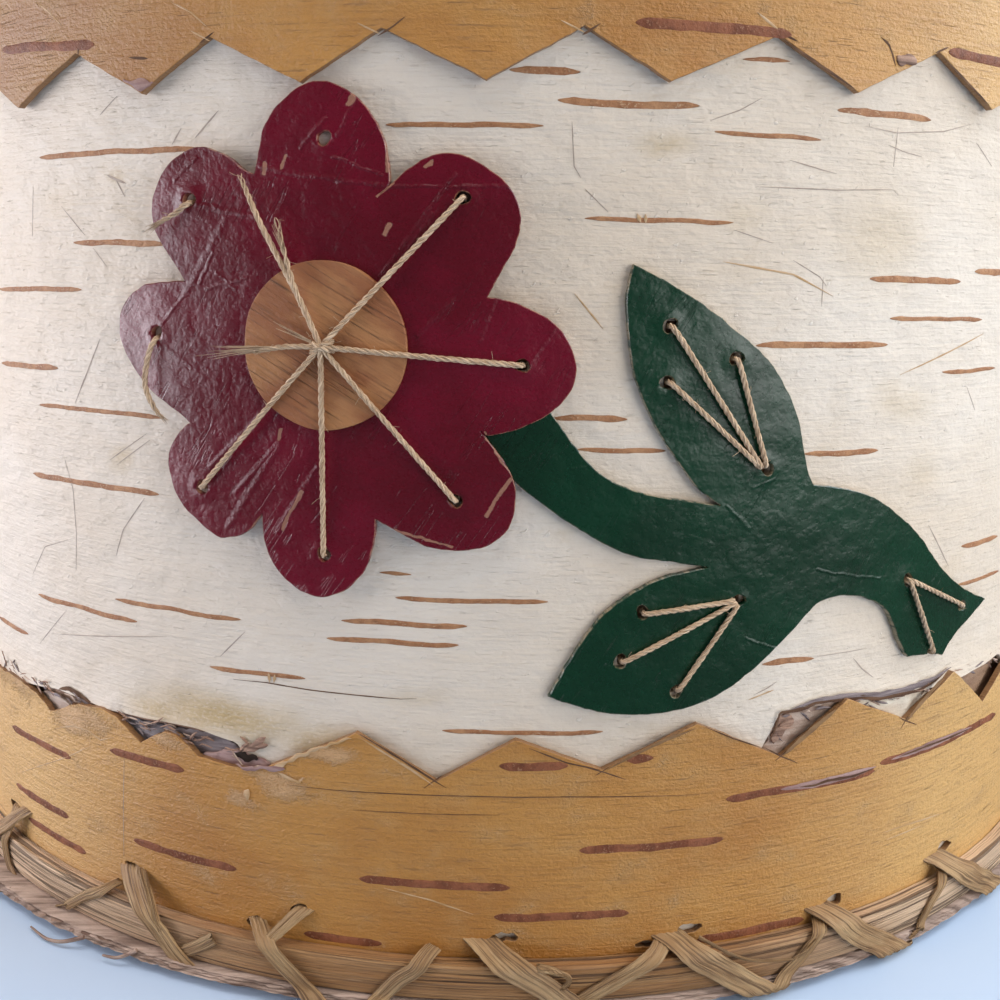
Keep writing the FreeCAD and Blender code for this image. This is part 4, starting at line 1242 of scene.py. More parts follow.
broken([flower_middle, (-22.6, 83.5), (-24.6, 87.6), (-27.6, 93.6), (-30.0, 98.7)],
       [crest + rise for rise in (0.4, 0.6, 0.8, 1.2, 0.8)], 40, 0.8, (5.5, 16, 0.10))
broken([flower_middle, (-22.9, 84.0), (-24.2, 87.8), (-25.6, 93.9)],
       [crest + 0.3 + 0.3 * number for number in range(4)], 43, 0.55, (7.0, 14, 0.16), 2)
broken([(-43.4, 80.3), (-43.6, 79.2), (-44.3, 76.6), (-44.6, 73.6), (-43.6, 71.0), (-42.7, 69.8)],
       [wall_radius, *(petals_face + rise for rise in (0.6, 1.2, 1.3, 1.0, 0.7))],
       50, 0.75, (2.6, 16, 0.22))
broken([(-37.8, 96.1), (-37.9, 95.6), (-39.4, 94.5), (-41.5, 93.4)],
       [wall_radius, *(petals_face + rise for rise in (0.6, 0.9, 1.3))], 53, 0.4, (4.6, 26, 0.16))
petal_twine.piece("flower_twine", fibre, slot="twine", replaces=["petal_stitches"], sharp=80)

# %% Leaf threads
threads = {
    "upper_leaf_twine": ("upper_leaf_stitches", [((19.6, 82.4), (32.0, 65.4)), ((28.0, 78.6), (32.7, 65.5)),
                                                 ((19.7, 75.8), (31.6, 65.6))]),
    "lower_leaf_twine": ("lower_leaf_stitches", [((17.9, 47.2), (29.4, 48.4)), ((15.4, 41.0), (29.6, 48.1)),
                                                 ((22.7, 36.9), (30.0, 47.7))]),
    "stem_end_twine": ("stem_end_stitches", [((70.8, 42.8), (58.0, 48.4)), ((64.5, 36.9), (57.9, 48.1))]),
}
for seed, (name, (node, runs)) in enumerate(threads.items()):
    pile = Pile()
    for number, (hole, gather) in enumerate(runs):
        path = over_sheet(hole, gather, stem_face)
        path.append(on_wall(*gather, stem_face - 0.6))
        laid(pile, path, 60 + 5 * seed + number, fuzz=6)
    pile.piece(name, fibre, slot="twine", replaces=[node], sharp=80)

# %% [markdown]
# ## Lenticels
# The long pores of the bark lie flat on it as thin raised marks. Geometry Nodes could scatter them.
# Those of the front have places and lengths of their own and follow the curled teeth, so one
# function draws a pore, lists place the front's, and seeded ones fill the rest of the way round.

# %% Pores of the front
white_pores = [   # the two ends along, and up
    (-65, -38, 102.2), (-59, -43, 91.2), (-78, -58, 85.2), (-79, -64, 74.7), (-69, -45, 69.5),
    (-72, -46, 59.4), (-14, 4, 104.5), (5.5, 22, 107.2), (24, 38, 104.5), (40, 55, 108), (9, 27, 94.5),
    (0, 8, 110.4), (27, 33, 112.7), (47, 64, 88.4), (51, 70, 83.5), (31, 51, 80.2), (62, 75, 76.5),
    (6, 15, 71.4), (9, 20, 67.5), (39, 51, 66.5), (-13, 6, 48.5), (-20, -4, 45.2), (-22, -5, 42.7),
    (-55, -34, 43.8), (-73, -51, 41.2), (-39, -25, 36.8), (-88, -77, 34.2), (-7, 13.5, 31.2),
    (71, 82, 51.2), (71, 84, 45.5), (35, 43, 38.9), (-15, -11, 51.6), (67, 80, 89.8),
]
slanting_pore = (-70.2, -51.9, 115.8)
gold_pores = [
    (-56.7, -43.1, 21.6), (-83.2, -67.3, 7.9), (-52.9, -35.3, 8.7), (-79.5, -63.5, 3.4), (-17.7, 2, 10.2),
    (10.8, 30.4, 15.3), (0, 17.7, 5.9), (0.3, 9, 27.2), (-82.9, -65.7, 17.9), (16.3, 20, 27.8),
    (27.5, 44.1, 0.8), (-25.5, -14.7, 0.9), (30.4, 54.8, 21.1), (55.8, 86.8, 21.8), slanting_pore,
    (13.8, 32.4, 115.5), (55.8, 68.3, 115.9),
]


# %% One mark, and one stroke
def on_bark(along, up, radius):
    """A place on the wall, or on the band where its teeth curl."""
    return on_wall(along, up, radius + (band_lift(along, up) if radius > band_face - 0.1 else 0.0))


pore_section = ((-1, 0.01), (-0.6, 0.06), (-0.2, 0.045), (0.3, 0.075), (0.7, 0.055), (1, 0.01), (0, -0.03))


def mark(pile, start, end, up, width, radius, seed, taper, drop=0.0):
    """One lenticel: a thin spindle with uneven edges, bent round the wall."""
    count = max(10, round(abs(end - start) / 0.5))
    rows = []
    for number in range(count + 1):
        share = 0.5 - 0.5 * math.cos(math.pi * number / count)
        along = start + (end - start) * share
        from_end = min(share, 1 - share) * abs(end - start)
        swell = min(1.0, from_end / taper) ** 0.5
        wave = 1 + 0.22 * ripple((along, seed, 0), 2.4) + 0.12 * ripple((along, seed, 5), 0.7)
        half = max(0.03, width * 0.5 * swell * wave)
        middle = up - drop * share + 0.22 * ripple((along, 0, seed), 6.0)
        middle += 0.06 * ripple((along, 3, seed), 1.3)
        rows.append([on_bark(along, middle + half * across, radius + rise)
                     for across, rise in pore_section])
    pile.rows(rows, seed=seed)


def sliver(pile, path, width, radius, height, seed):
    """A thin flat stroke on the wall, along a path of (along, up), with pointed ends."""
    line = even([Vector((*place, 0)) for place in path], 0.5)
    rows = []
    for number, place in enumerate(line):
        run = (line[min(number + 1, len(line) - 1)] - line[max(number - 1, 0)]).normalized()
        beside = Vector((-run.y, run.x, 0))
        share = number / (len(line) - 1)
        point = min(1.0, 4 * share, 4 * (1 - share)) ** 0.6
        half = max(0.02, 0.5 * width * point * (1 + 0.4 * ripple((number, seed, 0), 3.0)))
        left, right = place - beside * half, place + beside * half
        rows.append([on_bark(left.x, left.y, radius), on_bark(place.x, place.y, radius + height),
                     on_bark(right.x, right.y, radius), on_bark(place.x, place.y, radius - 0.03)])
    pile.rows(rows, seed=seed)


def marks_round(pile, chance, count, ups, radius, width, lengths):
    """Seeded lenticels over the back of the box."""
    back = math.pi * wall_radius
    for _ in range(count):
        length = chance.uniform(*lengths)
        start = chance.uniform(front_half, 2 * back - front_half - length)
        up = chance.uniform(*ups)
        wide = width * chance.uniform(0.7, 1.1)
        mark(pile, start, start + length, up, wide, radius, chance.random() * 50, width * 2)


# %% Pores all round the box
chance = random.Random(7)
pile = Pile()
for number, (start, end, up) in enumerate(white_pores):
    mark(pile, start, end, up, 0.68 + 0.14 * math.sin(3 * number), wall_radius, number * 1.3, 2.0)
marks_round(pile, chance, 110, (31, 112), wall_radius, 0.95, (9, 27))
pile.piece("white_lenticels", pore_white, slot="inner_bark")
pile = Pile()
for number, (start, end, up) in enumerate(gold_pores):
    drop = 1.2 if (start, end, up) == slanting_pore else 0.0
    mark(pile, start, end, up, 1.15, band_face, 60 + number * 1.3, 1.2, drop)
marks_round(pile, chance, 36, (3, 23), band_face, 1.3, (10, 24))
marks_round(pile, chance, 44, (118, 138), band_face, 1.3, (10, 24))
pile.piece("golden_lenticels", pore_gold, slot="inner_bark")

# %% [markdown]
# ## Cracks, hairlines and torn fibres
# Knife cuts run past the teeth, hairlines cross the white bark, and fibres stand along the tears.
# Some dark and brown strokes are painted shadow, beside tooth edges and under the torn lips.
# A texture could show them flat. Thin strokes of bark keep their edges from near and throw small
# shadows. A stroke is a path and a width, and a radius where it doesn't lie on its list's own.

# %% Cracks, hairlines, knife cuts and painted shadows
# Dark strokes: knife cuts past the teeth, cracks and split pores, and painted shadow under the torn lips
# and beside some tooth edges.
cuts_and_painted_shadows = [
    ([(44.7, 116.3), (45.9, 115.7), (46.6, 114.6), (47.2, 113.3)], 0.28),
    ([(-54.7, 113.6), (-54.6, 115)], 0.25), ([(-36.3, 113.6), (-34.3, 114.8)], 0.25),
    ([(-14.6, 113.7), (-13, 114.6), (-11.5, 115.7)], 0.2), ([(7.9, 114), (9.9, 115.3)], 0.25),
    ([(30.6, 115.7), (33.2, 114.8)], 0.3), ([(53.5, 115.5), (55.7, 116.4)], 0.25),
    ([(-46.4, 112.7), (-43.5, 112.4)], 0.3),
    # Painted shadow under the lifted torn lip of the white sheet, on the right.
    ([(36.4, 28.2), (37.2, 29.9), (37.7, 32.2), (40.1, 32.2), (41.8, 32.3), (43.2, 32.9), (46.6, 32.8),
      (48.9, 32.5), (51.4, 32.5), (54.6, 31.6), (57.9, 31.5), (63, 31.3), (66.8, 32),
      (69.5, 33.1)], 0.55, wall_radius + 0.75),
    ([(-35.4, 35.5), (-30.5, 35.7), (-24.4, 35.4), (-18.5, 35.3), (-12.4, 35.2),
      (-10.3, 35.4)], 0.16, wall_radius),
    # Painted shadow under the torn lip of the white sheet, on the left.
    ([(-68.9, 27.5), (-66.2, 28.4), (-63.5, 28), (-61.7, 27.4), (-59.1, 27)], 0.8, wall_radius + 0.35),
    ([(-17.4, 30.6), (-14.4, 28.9), (-11.4, 27.1), (-7.5, 24.6), (-6.3, 23.9)], 0.28),
    ([(-6.9, 25.6), (-9.2, 23.7)], 0.14), ([(35.6, 27.7), (38, 26.2), (41, 24.7)], 0.2),
    ([(39.2, 26.9), (37.3, 25.5)], 0.16), ([(58.6, 28.3), (60, 27.5), (62.9, 26.2)], 0.2),
    ([(60.6, 28), (59.4, 26.4)], 0.16), ([(11, 27), (13.5, 26.2), (16.5, 25)], 0.16),
    ([(14.3, 26.9), (12.5, 25.7)], 0.14), ([(4, 29.7), (8.8, 27.6), (13.1, 26.5)], 0.22),
    ([(27, 31.5), (30.8, 29.6), (34.8, 27.9)], 0.2),
    ([(-27.4, 22.3), (-21, 22.4), (-12.2, 22.7), (-3.7, 22.9), (8.9, 22.9), (17.6, 22.6),
      (26.6, 22.1)], 0.14), ([(-18.4, 19.9), (-12.2, 20.1), (0.5, 20.4)], 0.10),
    ([(41.6, 21.2), (44, 21), (46, 21.3), (50.7, 21.1), (54.6, 21.5)], 0.36, band_face + 0.13),
    ([(59.5, 22.1), (65.7, 22.3), (71.6, 22.2), (77.6, 22.1)], 0.32, band_face + 0.13),
    # Painted shadow along the edges of two head band teeth.
    ([(31.4, 114.7), (36, 112.5), (41, 110.2)], 0.35, band_face + 0.1),
    ([(55, 115), (60, 112.4), (64, 110.4)], 0.3, band_face + 0.1),
]
# Painted shade: brown strokes on the left-facing slopes of the foot band's curled teeth, where their cut
# edge stands in shadow.
slope_shade_lines = [
    ([(38.5, 26.2), (40.9, 28.1), (44, 30.3), (46.4, 31.8)], 0.8),
    ([(60.4, 27.4), (62.3, 29.1), (65, 31.1), (67.5, 32.6)], 0.8),
    ([(13.9, 26.5), (17.3, 28.4), (21.6, 30.4), (25.3, 31.6)], 0.4),
]
pale_lines = [
    ([(15.1, 95.2), (15.6, 94.2)], 0.5, wall_radius + 0.08),
    ([(16.1, 95.2), (16.2, 94.1)], 0.4, wall_radius + 0.08),
    ([(-30.1, 37.1), (-30, 35.8)], 0.4, wall_radius + 0.08),
    ([(-29.2, 37), (-29.4, 35.8)], 0.4, wall_radius + 0.08), ([(-37.4, 115.1), (-34.8, 113.8)], 0.2),
    ([(-16.9, 115.1), (-14.3, 113.9)], 0.2), ([(5.5, 115.5), (8.2, 114.3)], 0.2),
    ([(27.9, 117.5), (30.9, 115.7)], 0.25), ([(-62, 120.5), (-59.7, 119.1), (-57.3, 117.2)], 0.18),
    ([(-40, 118.4), (-37.3, 117.1), (-35.2, 115.4)], 0.18),
    ([(-28.6, 23.9), (-27, 23.2), (-25.7, 22.9), (-25.1, 23.7)], 0.5, band_face + 0.1),
    ([(-81.9, 10.3), (-74.2, 14.1), (-66.6, 17.8), (-60.8, 21.1)], 0.16),
    ([(-69.6, 21.4), (-64.7, 23.2), (-61.3, 23.4), (-58.5, 22.6), (-55.7, 23.7)], 0.25),
    ([(-14.4, 9.2), (-8.3, 8), (-2.7, 6.2)], 0.2),
    ([(-17.2, 30), (-14.2, 28.2), (-11, 26.3), (-8, 24.2)], 0.3),
    ([(57.8, 10.7), (62.9, 10.6), (72.1, 9.8)], 0.25), ([(58.7, 9.4), (66.2, 9.4)], 0.2),
    ([(26, 90), (35.5, 88.7), (41.5, 86.2)], 0.25, wall_radius),
    ([(8.1, 86), (11.6, 82)], 0.2, wall_radius), ([(53.7, 76.3), (70.8, 81.5)], 0.2, wall_radius),
    ([(33.3, 34.2), (37, 35.2)], 0.25, wall_radius),
]
scratches = [
    ([(7.2, 105.1), (7.6, 100.2), (8.4, 99)], 0.13), ([(8.9, 97.8), (11.7, 95.3)], 0.13),
    ([(23.4, 105.8), (27, 107.1), (29.7, 108.6)], 0.13),
    ([(44.3, 106.4), (49.3, 106), (57.5, 106.8), (63.3, 108.3)], 0.13),
    ([(48.2, 104.5), (50.7, 103.9), (54, 103.5)], 0.13), ([(49.3, 102), (49.5, 106.7)], 0.13),
    ([(64.4, 106), (68.4, 103.4)], 0.13), ([(33.9, 101.9), (38.6, 101), (40.6, 100.7)], 0.13),
    ([(30.2, 98.7), (40.8, 98.8), (49.6, 99.3), (50.5, 98.7)], 0.13),
    ([(27.1, 93.7), (32.4, 92.3)], 0.13), ([(35.3, 90.4), (39.3, 88.5), (40.4, 87.4)], 0.13),
    ([(39.8, 88.5), (39.9, 84.9)], 0.13), ([(68, 74.3), (70.7, 70.9)], 0.13),
    ([(-38.1, 103.4), (-34.7, 106.4)], 0.2), ([(-41.5, 102.7), (-40, 104.6)], 0.2),
    ([(-52.7, 106.7), (-49.7, 108.7)], 0.13), ([(-52.1, 99.5), (-50.5, 98.9), (-48.9, 98.4)], 0.3),
    ([(-50.7, 99.1), (-49.2, 96.8)], 0.2), ([(-61, 95.9), (-56.7, 92.2)], 0.14),
    ([(-55.3, 90.6), (-53, 88.3)], 0.13), ([(-66.9, 98.6), (-67.9, 92.2)], 0.13),
    ([(-55, 79.1), (-58, 74.4), (-60.8, 70.2)], 0.22),
    ([(-63.8, 62.2), (-62.4, 58.2), (-62.3, 52), (-62.9, 46.6)], 0.15),
    ([(-48.5, 58.6), (-52.7, 53.8), (-54.4, 49.8)], 0.16),
    ([(-74.1, 44.2), (-70.2, 48.9), (-64.3, 50.8)], 0.14), ([(-73.6, 33.5), (-65.8, 40.2)], 0.13),
    ([(-69.6, 35.9), (-45.9, 39.9)], 0.13), ([(-37.3, 38.4), (-33.4, 42.3)], 0.15),
    ([(-54.5, 63.1), (-47.6, 67.2)], 0.14), ([(-53.2, 62.6), (-47.1, 66.4)], 0.14),
    ([(49.9, 38), (51.6, 36.3), (54, 34.6)], 0.2), ([(62.4, 55.4), (68.2, 48.7)], 0.2),
    ([(34, 34.8), (35.9, 35.5), (37.4, 36.3)], 0.16), ([(43.5, 39.1), (52.2, 39.1)], 0.12),
    ([(-53.8, 21.8), (-54.6, 13.5), (-55.1, 5.5)], 0.10, band_face),
]
lips = [
    ([(39.5, 32.4), (43.2, 33.1), (48.9, 32.9), (54.6, 32.1), (60, 31.9), (66.8, 32.4),
      (70.5, 33.3)], 1, wall_radius + 0.68),
]
splits = [
    ([(38.5, 21.3), (44, 21.2), (50, 21.3), (55, 21.6)], 1, band_face + 0.06),
    ([(58, 22), (65, 22.2), (72, 22.3), (78, 22.1)], 0.9, band_face + 0.06),
]
tufts = [
    ([(-34.6, 25.6), (-33.3, 27), (-34.4, 27.8)], 0.6, wall_radius + 0.35),
    ([(-34, 25.7), (-32.3, 26.9), (-30.6, 28.3)], 0.9, wall_radius + 0.4),
    ([(-33.4, 25.9), (-31.6, 26.8), (-30.2, 27.3)], 0.8, wall_radius + 0.45),
    ([(-60.2, 27.2), (-55, 27.3), (-50, 27.4), (-45, 27.7), (-39, 27.5)], 0.5, wall_radius + 0.1),
]


# %% Torn fibres
chance = random.Random(23)


def shreds(edge, count, size, width):
    """Torn fibres along an edge of (along, up), each leaning a little off it."""
    found = []
    edge = even([Vector(place) for place in edge], 0.3)
    for number in range(count):
        root = chance.choice(edge) + Vector((chance.uniform(-0.6, 0.6), chance.uniform(-1.1, 0.2)))
        lean, length = chance.gauss(0.0, 0.35), chance.uniform(0.3, 1.0) * size
        step = Vector((math.cos(lean), math.sin(lean) - 0.1)) * length * chance.choice((-0.5, 0.5))
        bend = Vector((0, chance.uniform(-0.25, 0.25)))
        bent = [tuple(root), tuple(root + step + bend), tuple(root + 2 * step)]
        found.append((bent, chance.uniform(0.4, 1.0) * width, wall_radius + chance.uniform(0.0, 0.7)))
    return found


left_edge = [
    (-90, 27.6), (-83, 28.2), (-76, 27.8), (-70, 27.6), (-60, 27), (-52, 27), (-45, 27), (-38, 26.6),
    (-34, 25.6),
]
right_edge = [
    (36.4, 28.6), (37.8, 31.6), (43, 32.4), (51, 32), (58, 31.2), (66.8, 31.6), (72, 32.4), (84, 32.2),
]
brown_shreds = shreds(left_edge, 46, 3.0, 0.42) + shreds(right_edge, 26, 2.8, 0.4)
grey_shreds = shreds(left_edge, 46, 3.2, 0.45) + shreds(right_edge, 30, 3.0, 0.4)
pale_shreds = shreds(left_edge, 26, 2.4, 0.35) + shreds(right_edge, 26, 2.4, 0.4)
pale_shreds += shreds([(-34.8, 24.6), (-27.0, 24.0)], 16, 2.0, 0.4)
stroke_pieces = {   # the strokes, the radius they lie on, their height and their material
    "brown_shreds": (brown_shreds, wall_radius, 0.12, bark_torn_brown),
    "grey_shreds": (grey_shreds, wall_radius, 0.12, bark_torn_grey),
    "pale_shreds": (pale_shreds, wall_radius, 0.12, bark_torn_tan),
    "cuts_and_painted_shadows": (cuts_and_painted_shadows, band_face, 0.03, bark_shadow),
    "pale_lines": (pale_lines, band_face, 0.05, bark_worn_tip),
    "slope_shade_lines": (slope_shade_lines, band_face + 0.1, 0.04, bark_slope_shade),
    "torn_lip": (lips, wall_radius, 0.1, bark_torn_grey),
    "split_lenticels": (splits, band_face, 0.06, pore_edge),
    "scratches": (scratches, wall_radius, 0.02, bark_hairline),
    "torn_tufts": (tufts, wall_radius, 0.2, bark_torn_brown),
}
for name, (strokes, own_radius, height, material) in stroke_pieces.items():
    pile = Pile()
    for number, (path, width, *radius) in enumerate(strokes):
        lies_on = radius[0] if radius else own_radius
        sliver(pile, path, width, lies_on + 0.02, height, number)
    pile.piece(name, material, slot="inner_bark", sharp=60)


# %% [markdown]
# ## Hoops of split wood
# Foot, mouth and lid have hoops of split wood, whose two ends overlap in a slanting joint at the
# back. A torus could stand for each. Rows of one section let the face be grooved along the grain
# and the ends thin out over each other.

# %% Hoops
def split_hoop(name, node, body, seed):
    """A hoop in the place of its node, grooved along its face."""
    inner, outer = reach(node)
    low, high = levels(node)
    thick, tall = outer - inner, high - low
    joint = thick / math.tan(math.radians(12)) / outer
    steps = 760
    section = [(1.0, 1 - step / 15) for step in range(16)] + [(0.66, 0.0), (0.33, 0.0)]
    section += [(0.0, step / 4) for step in range(5)] + [(0.33, 1.0), (0.66, 1.0)]
    rows = []
    for step in range(steps + 1):
        turn = -math.pi - joint / 2 + (2 * math.pi + joint) * step / steps
        along = turn * outer
        from_start, from_end = (turn + math.pi + joint / 2) / joint, (math.pi + joint / 2 - turn) / joint
        near_in = inner + thick * max(0.0, 1 - from_end) * 0.97
        near_out = outer - thick * max(0.0, 1 - from_start) * 0.97
        out = Vector((math.sin(turn), -math.cos(turn), 0))
        row = []
        for depth, height in section:
            level = low + tall * height
            groove = 0.0
            if depth == 1.0:
                groove = 0.10 + 0.13 * ripple((along / 26, level * 1.5, seed), 1.0)
                groove += 0.09 * ripple((along / 9, level * 3.6, seed + 4), 1.0)
                groove += 0.22 * abs(2 * height - 1) ** 5
            level += 0.10 * ripple((along / 14, 5 * (height > 0.5), seed), 1.0) * (0.0 < height < 1.0)
            if height in (0.0, 1.0):
                wear = 0.10 - 0.14 * abs(ripple((along / 7, height, seed), 1.0))
                level += wear if height == 0.0 else -wear
            row.append(out * (near_in + (near_out - near_in) * depth - groove) + UP * level)
        rows.append(row)
    pile = Pile()
    pile.rows(rows, seed=seed)
    pile.piece(name, wood_split, body, "split_wood", [node], 35)


split_hoop("foot_hoop", "base_hoop", "box", 1.0)
split_hoop("mouth_outer_hoop", "rim_outer_hoop", "box", 2.0)
split_hoop("mouth_inner_hoop", "rim_inner_hoop", "box", 3.0)
split_hoop("lid_edge_hoop", "lid_hoop", "lid", 4.0)

# %% [markdown]
# ## Lashing
# A strip of root comes out of its hole, bends over the hoop's top edge, runs slantwise down its
# face and wraps round the edge of the base disc. A curve with a flat bevel would twist as it
# turns. Here a profile says where the surface lies, and the strip is laid flat on it.

# %% The disc's edge
def disc_edge(angle, number):
    """How far one layer of the disc reaches at an angle from the front, left being negative."""
    left = math.exp(-((angle + 0.80) / 0.40) ** 2)
    waves = 0.35 * ripple((angle * 9, number, 0), 1.0) + 0.3 * ripple((angle * 40, number * 2, 3), 1.0)
    fray = 0.3 * ripple((angle * 130, number * 5, 1), 1.0)
    return hoop_face + 0.5 + 2.7 * left + waves + fray - 0.12 * number


# %% Ribs, and a ribbon along a route
strip_thickness = 0.36
over_lift, under_lift = 0.55, 0.08
strip_step = 0.45
profile_step = 0.25
disc_line = -5.9     # up, where a strip leaves the hoop for the disc's edge
shares_across = [rib / 16 - 0.5 for rib in range(17)]


def rib_height(number, across, seed, ribs):
    """The height of a ribbed strip at a share across it, round at its edges."""
    relief = 0.06 * math.cos(2 * math.pi * ribs * across + 1.2 * ripple((number * 0.05, seed, 2), 1.0))
    relief += 0.05 * ripple((across * 8, number * 0.07, seed), 1.0)
    return strip_thickness - 0.17 * (2 * abs(across)) ** 3 + relief


def rough_edge(number, across, seed):
    """How far a strip's edge strays sideways."""
    return 0.07 * ripple((number * 0.5, seed, across > 0), 1.0) * (abs(across) > 0.45)


def cupped(across, seed):
    """Some strips have edges that stand up a little."""
    return 0.10 * max(0.0, math.sin(seed * 2.3)) * (2 * across) ** 2


def ribbon(pile, route, widths, seed, ribs=4.5):
    """A ribbed strip along a route of (along, up, radius)."""
    rows = []
    points = [on_wall(place.x, place.y, place.z) for place in route]
    for number, place in enumerate(route):
        before, after = max(number - 1, 0), min(number + 1, len(route) - 1)
        heading = (points[after] - points[before]).normalized()
        step = route[after] - route[before]
        slope = Vector((step.z, step.y))
        if slope.length < 1e-6:
            slope = Vector((0, -1))
        slope.normalize()
        face = outward(place.x) * -slope.y + UP * slope.x
        side = heading.cross(face).normalized()
        face = side.cross(heading).normalized()
        share = number / max(1, len(route) - 1)
        width = widths[0] + (widths[1] - widths[0]) * min(1.0, share * 1.4)
        width *= 1 + 0.14 * ripple((number * 0.14, seed, 0), 1.0)
        drift = 0.18 * ripple((number * 0.1, 0, seed), 1.0)
        top, under = [], []
        for across in shares_across:
            offset = side * (across * width + drift + rough_edge(number, across, seed))
            offset += face * cupped(across, seed)
            top.append(points[number] + offset + face * rib_height(number, across, seed, ribs))
            under.append(points[number] + offset + face * 0.02)
        rows.append(top + under[::-1])
    pile.rows(rows, seed=seed)


# %% The foot's profile, and a strip laid on it
def foot_profile(hole_up, lift, along):
    """The line of (radius, up) from a hole, over the hoop and round the disc's edge."""
    low, edge, bed = disc_floor - hoop_top, disc_edge(along / wall_radius, 0), hoop_face + lift
    places = [(band_face - 3.0, hole_up + 0.4), (band_face - 0.6, hole_up + 0.25),
              (band_face + 0.2, hole_up - 0.05)]
    if hole_up > 1.0:
        places.append(((band_face + bed) / 2 + 0.1, hole_up * 0.5 + 0.3 + 0.2 * lift))
    places += [(bed - 0.05, 0.15 + 0.3 * lift), (bed + 0.05, -0.9), (bed + 0.05, -3.0), (bed + 0.05, -4.8)]
    if edge > hoop_face + 1.3:
        places += [(bed - 0.1, disc_line), (bed - 1.2, -6.3), (bed - 3.0, -6.3)]
    else:
        under = low - 0.1 - 1.55 * lift
        places += [(edge + 0.15 + lift * 0.6, disc_line), (edge + 0.1 + lift * 0.5, low + 0.1),
                   (edge - 0.9, under), (hoop_face - 4.0, under)]
    return even(smooth(places, 6), profile_step)


def down_to(profile, up):
    """The distance down a profile at which it has come down to a level."""
    for number, place in enumerate(profile):
        if place.x > band_face and place.y <= up:
            return number * profile_step
    return len(profile) * profile_step


def strip(pile, profile, path, widths, seed, ribs, ragged=False):
    """A ribbed strip that lies flat on a profile, along places of (along, distance down it)."""
    path = even(smooth(path, 6), strip_step)
    rows = []
    for number, place in enumerate(path):
        run = (path[min(number + 1, len(path) - 1)] - path[max(number - 1, 0)]).normalized()
        side = Vector((run.y, -run.x))
        share = number / max(1, len(path) - 1)
        width = widths[0] + (widths[1] - widths[0]) * share
        width *= 1 + 0.07 * ripple((number * 0.14, seed, 0), 1.0)
        drift = 0.12 * ripple((number * 0.1, 0, seed), 1.0)
        top, under = [], []
        for across in shares_across:
            height = rib_height(number, across, seed, ribs) + cupped(across, seed)
            spot = place + side * (across * width + drift + rough_edge(number, across, seed))
            if ragged and number in (0, len(path) - 1):
                spot += run * (0.8 * ripple((across * 7, seed, number), 1.0))
            steps = min(max(spot.y / profile_step, 0.0), len(profile) - 1.001)
            first, second = profile[int(steps)], profile[int(steps) + 1]
            level = first.lerp(second, steps - int(steps))
            slope = (second - first).normalized()
            for skin, rise in ((top, height), (under, 0.02)):
                skin.append(on_wall(spot.x, level.y + slope.x * rise, level.x - slope.y * rise))
        rows.append(top + under[::-1])
    pile.rows(rows, seed=seed)


def front_strip(pile, places, widths, sewn, end, lift, seed, ribs):
    """A strip through places of (along, up).

    It comes from inside the band when it is sewn. It wraps round the disc's edge when there is
    an end, which is the along where it goes under.
    """
    profile = foot_profile(max(places[0][1], 0.6), lift, places[-1][0] if end is None else end)
    path = [Vector((along, down_to(profile, up))) for along, up in places]
    if end is not None:
        path.append(Vector((end, down_to(profile, disc_line))))
        path.append(path[-1] + (path[-1] - path[-2]).normalized() * 7.0)
    if sewn:
        path.insert(0, path[0] - (path[1] - path[0]).normalized() * 4.0)
    strip(pile, profile, path, widths, seed, ribs, end is None)


# %% The front's strips: places, widths at both ends, whether it is sewn, and where it goes under
front_over = [
    ([(-80, 4.5), (-83.4, 1.8), (-88.2, -1.6), (-91.8, -4.4)], (2.3, 2.6), True, -94),
    ([(-53.2, 3.9), (-50.2, 1.6), (-46.5, -1.3), (-44.2, -3.9)], (3.4, 2.4), True, -41.8),
    ([(-32, 1.6), (-30.2, 0.8), (-27.5, -1.7), (-24.9, -4.2)], (2.1, 2.5), True, -22.6),
    ([(-1.2, 2.3), (1.4, 1), (4.3, -0.7), (7.3, -2.8)], (3.4, 3.4), True, 10.6),
    ([(23.6, 2), (25.8, 0.9), (29, -1.3), (32.4, -3.8)], (3.5, 3.4), True, 35.2),
    ([(46.6, 1.9), (48.8, 0.6), (52.4, -2.1), (55.8, -4.5)], (3.6, 3.6), True, 58),
    ([(71, 3), (74, 1.1), (79.1, -2.2), (82.6, -4.4)], (3.7, 3.9), True, 85.2),
    ([(-51.4, 4.3), (-48.6, 2.4), (-46.6, 0.2), (-45.6, -1.6)], (1.3, 1.1), True, None),
    ([(5.6, 0.4), (7.8, 0.1), (9.3, -0.6), (9.5, -1.5), (8.7, -2.4)], (0.9, 0.6), False, None),
]
front_under = [
    ([(-83.3, 3.9), (-82.4, 2.5), (-82.6, 0.6), (-83.2, -1.4), (-82.2, -4.2)], (1.9, 2.1), True, -80.6),
    ([(-56.1, 1.3), (-57.4, 0.5), (-60.5, -1.1), (-65.3, -4.4)], (1.6, 1.4), False, None),
    ([(-25.7, 4.3), (-26.9, 3.4), (-28.2, 2.1), (-29.4, 0.6)], (2.3, 1.5), True, None),
    ([(-37.6, -0.8), (-40.1, -2.4), (-43.4, -4.5)], (1.9, 1.8), False, None),
    ([(-7.7, 1.3), (-9.6, -0.1), (-12, -2.3), (-13.9, -4.5)], (2.2, 2.2), False, -15.2),
    ([(22.6, 1.7), (21.4, 1.1), (19.8, 0.3), (16.6, -1.5), (12.4, -3.9)], (2.2, 2.3), True, 9.4),
    ([(46.2, 0.9), (45.2, 0.3), (44.1, -0.9), (41.9, -3.2), (40, -4.8)], (1.9, 1.9), True, 38.4),
    ([(71.9, 1.6), (70.6, 0.9), (69, -0.2), (66.8, -2.3), (64.6, -5.2)], (1.7, 1.5), True, None),
]
pile_over, pile_under = Pile(), Pile()
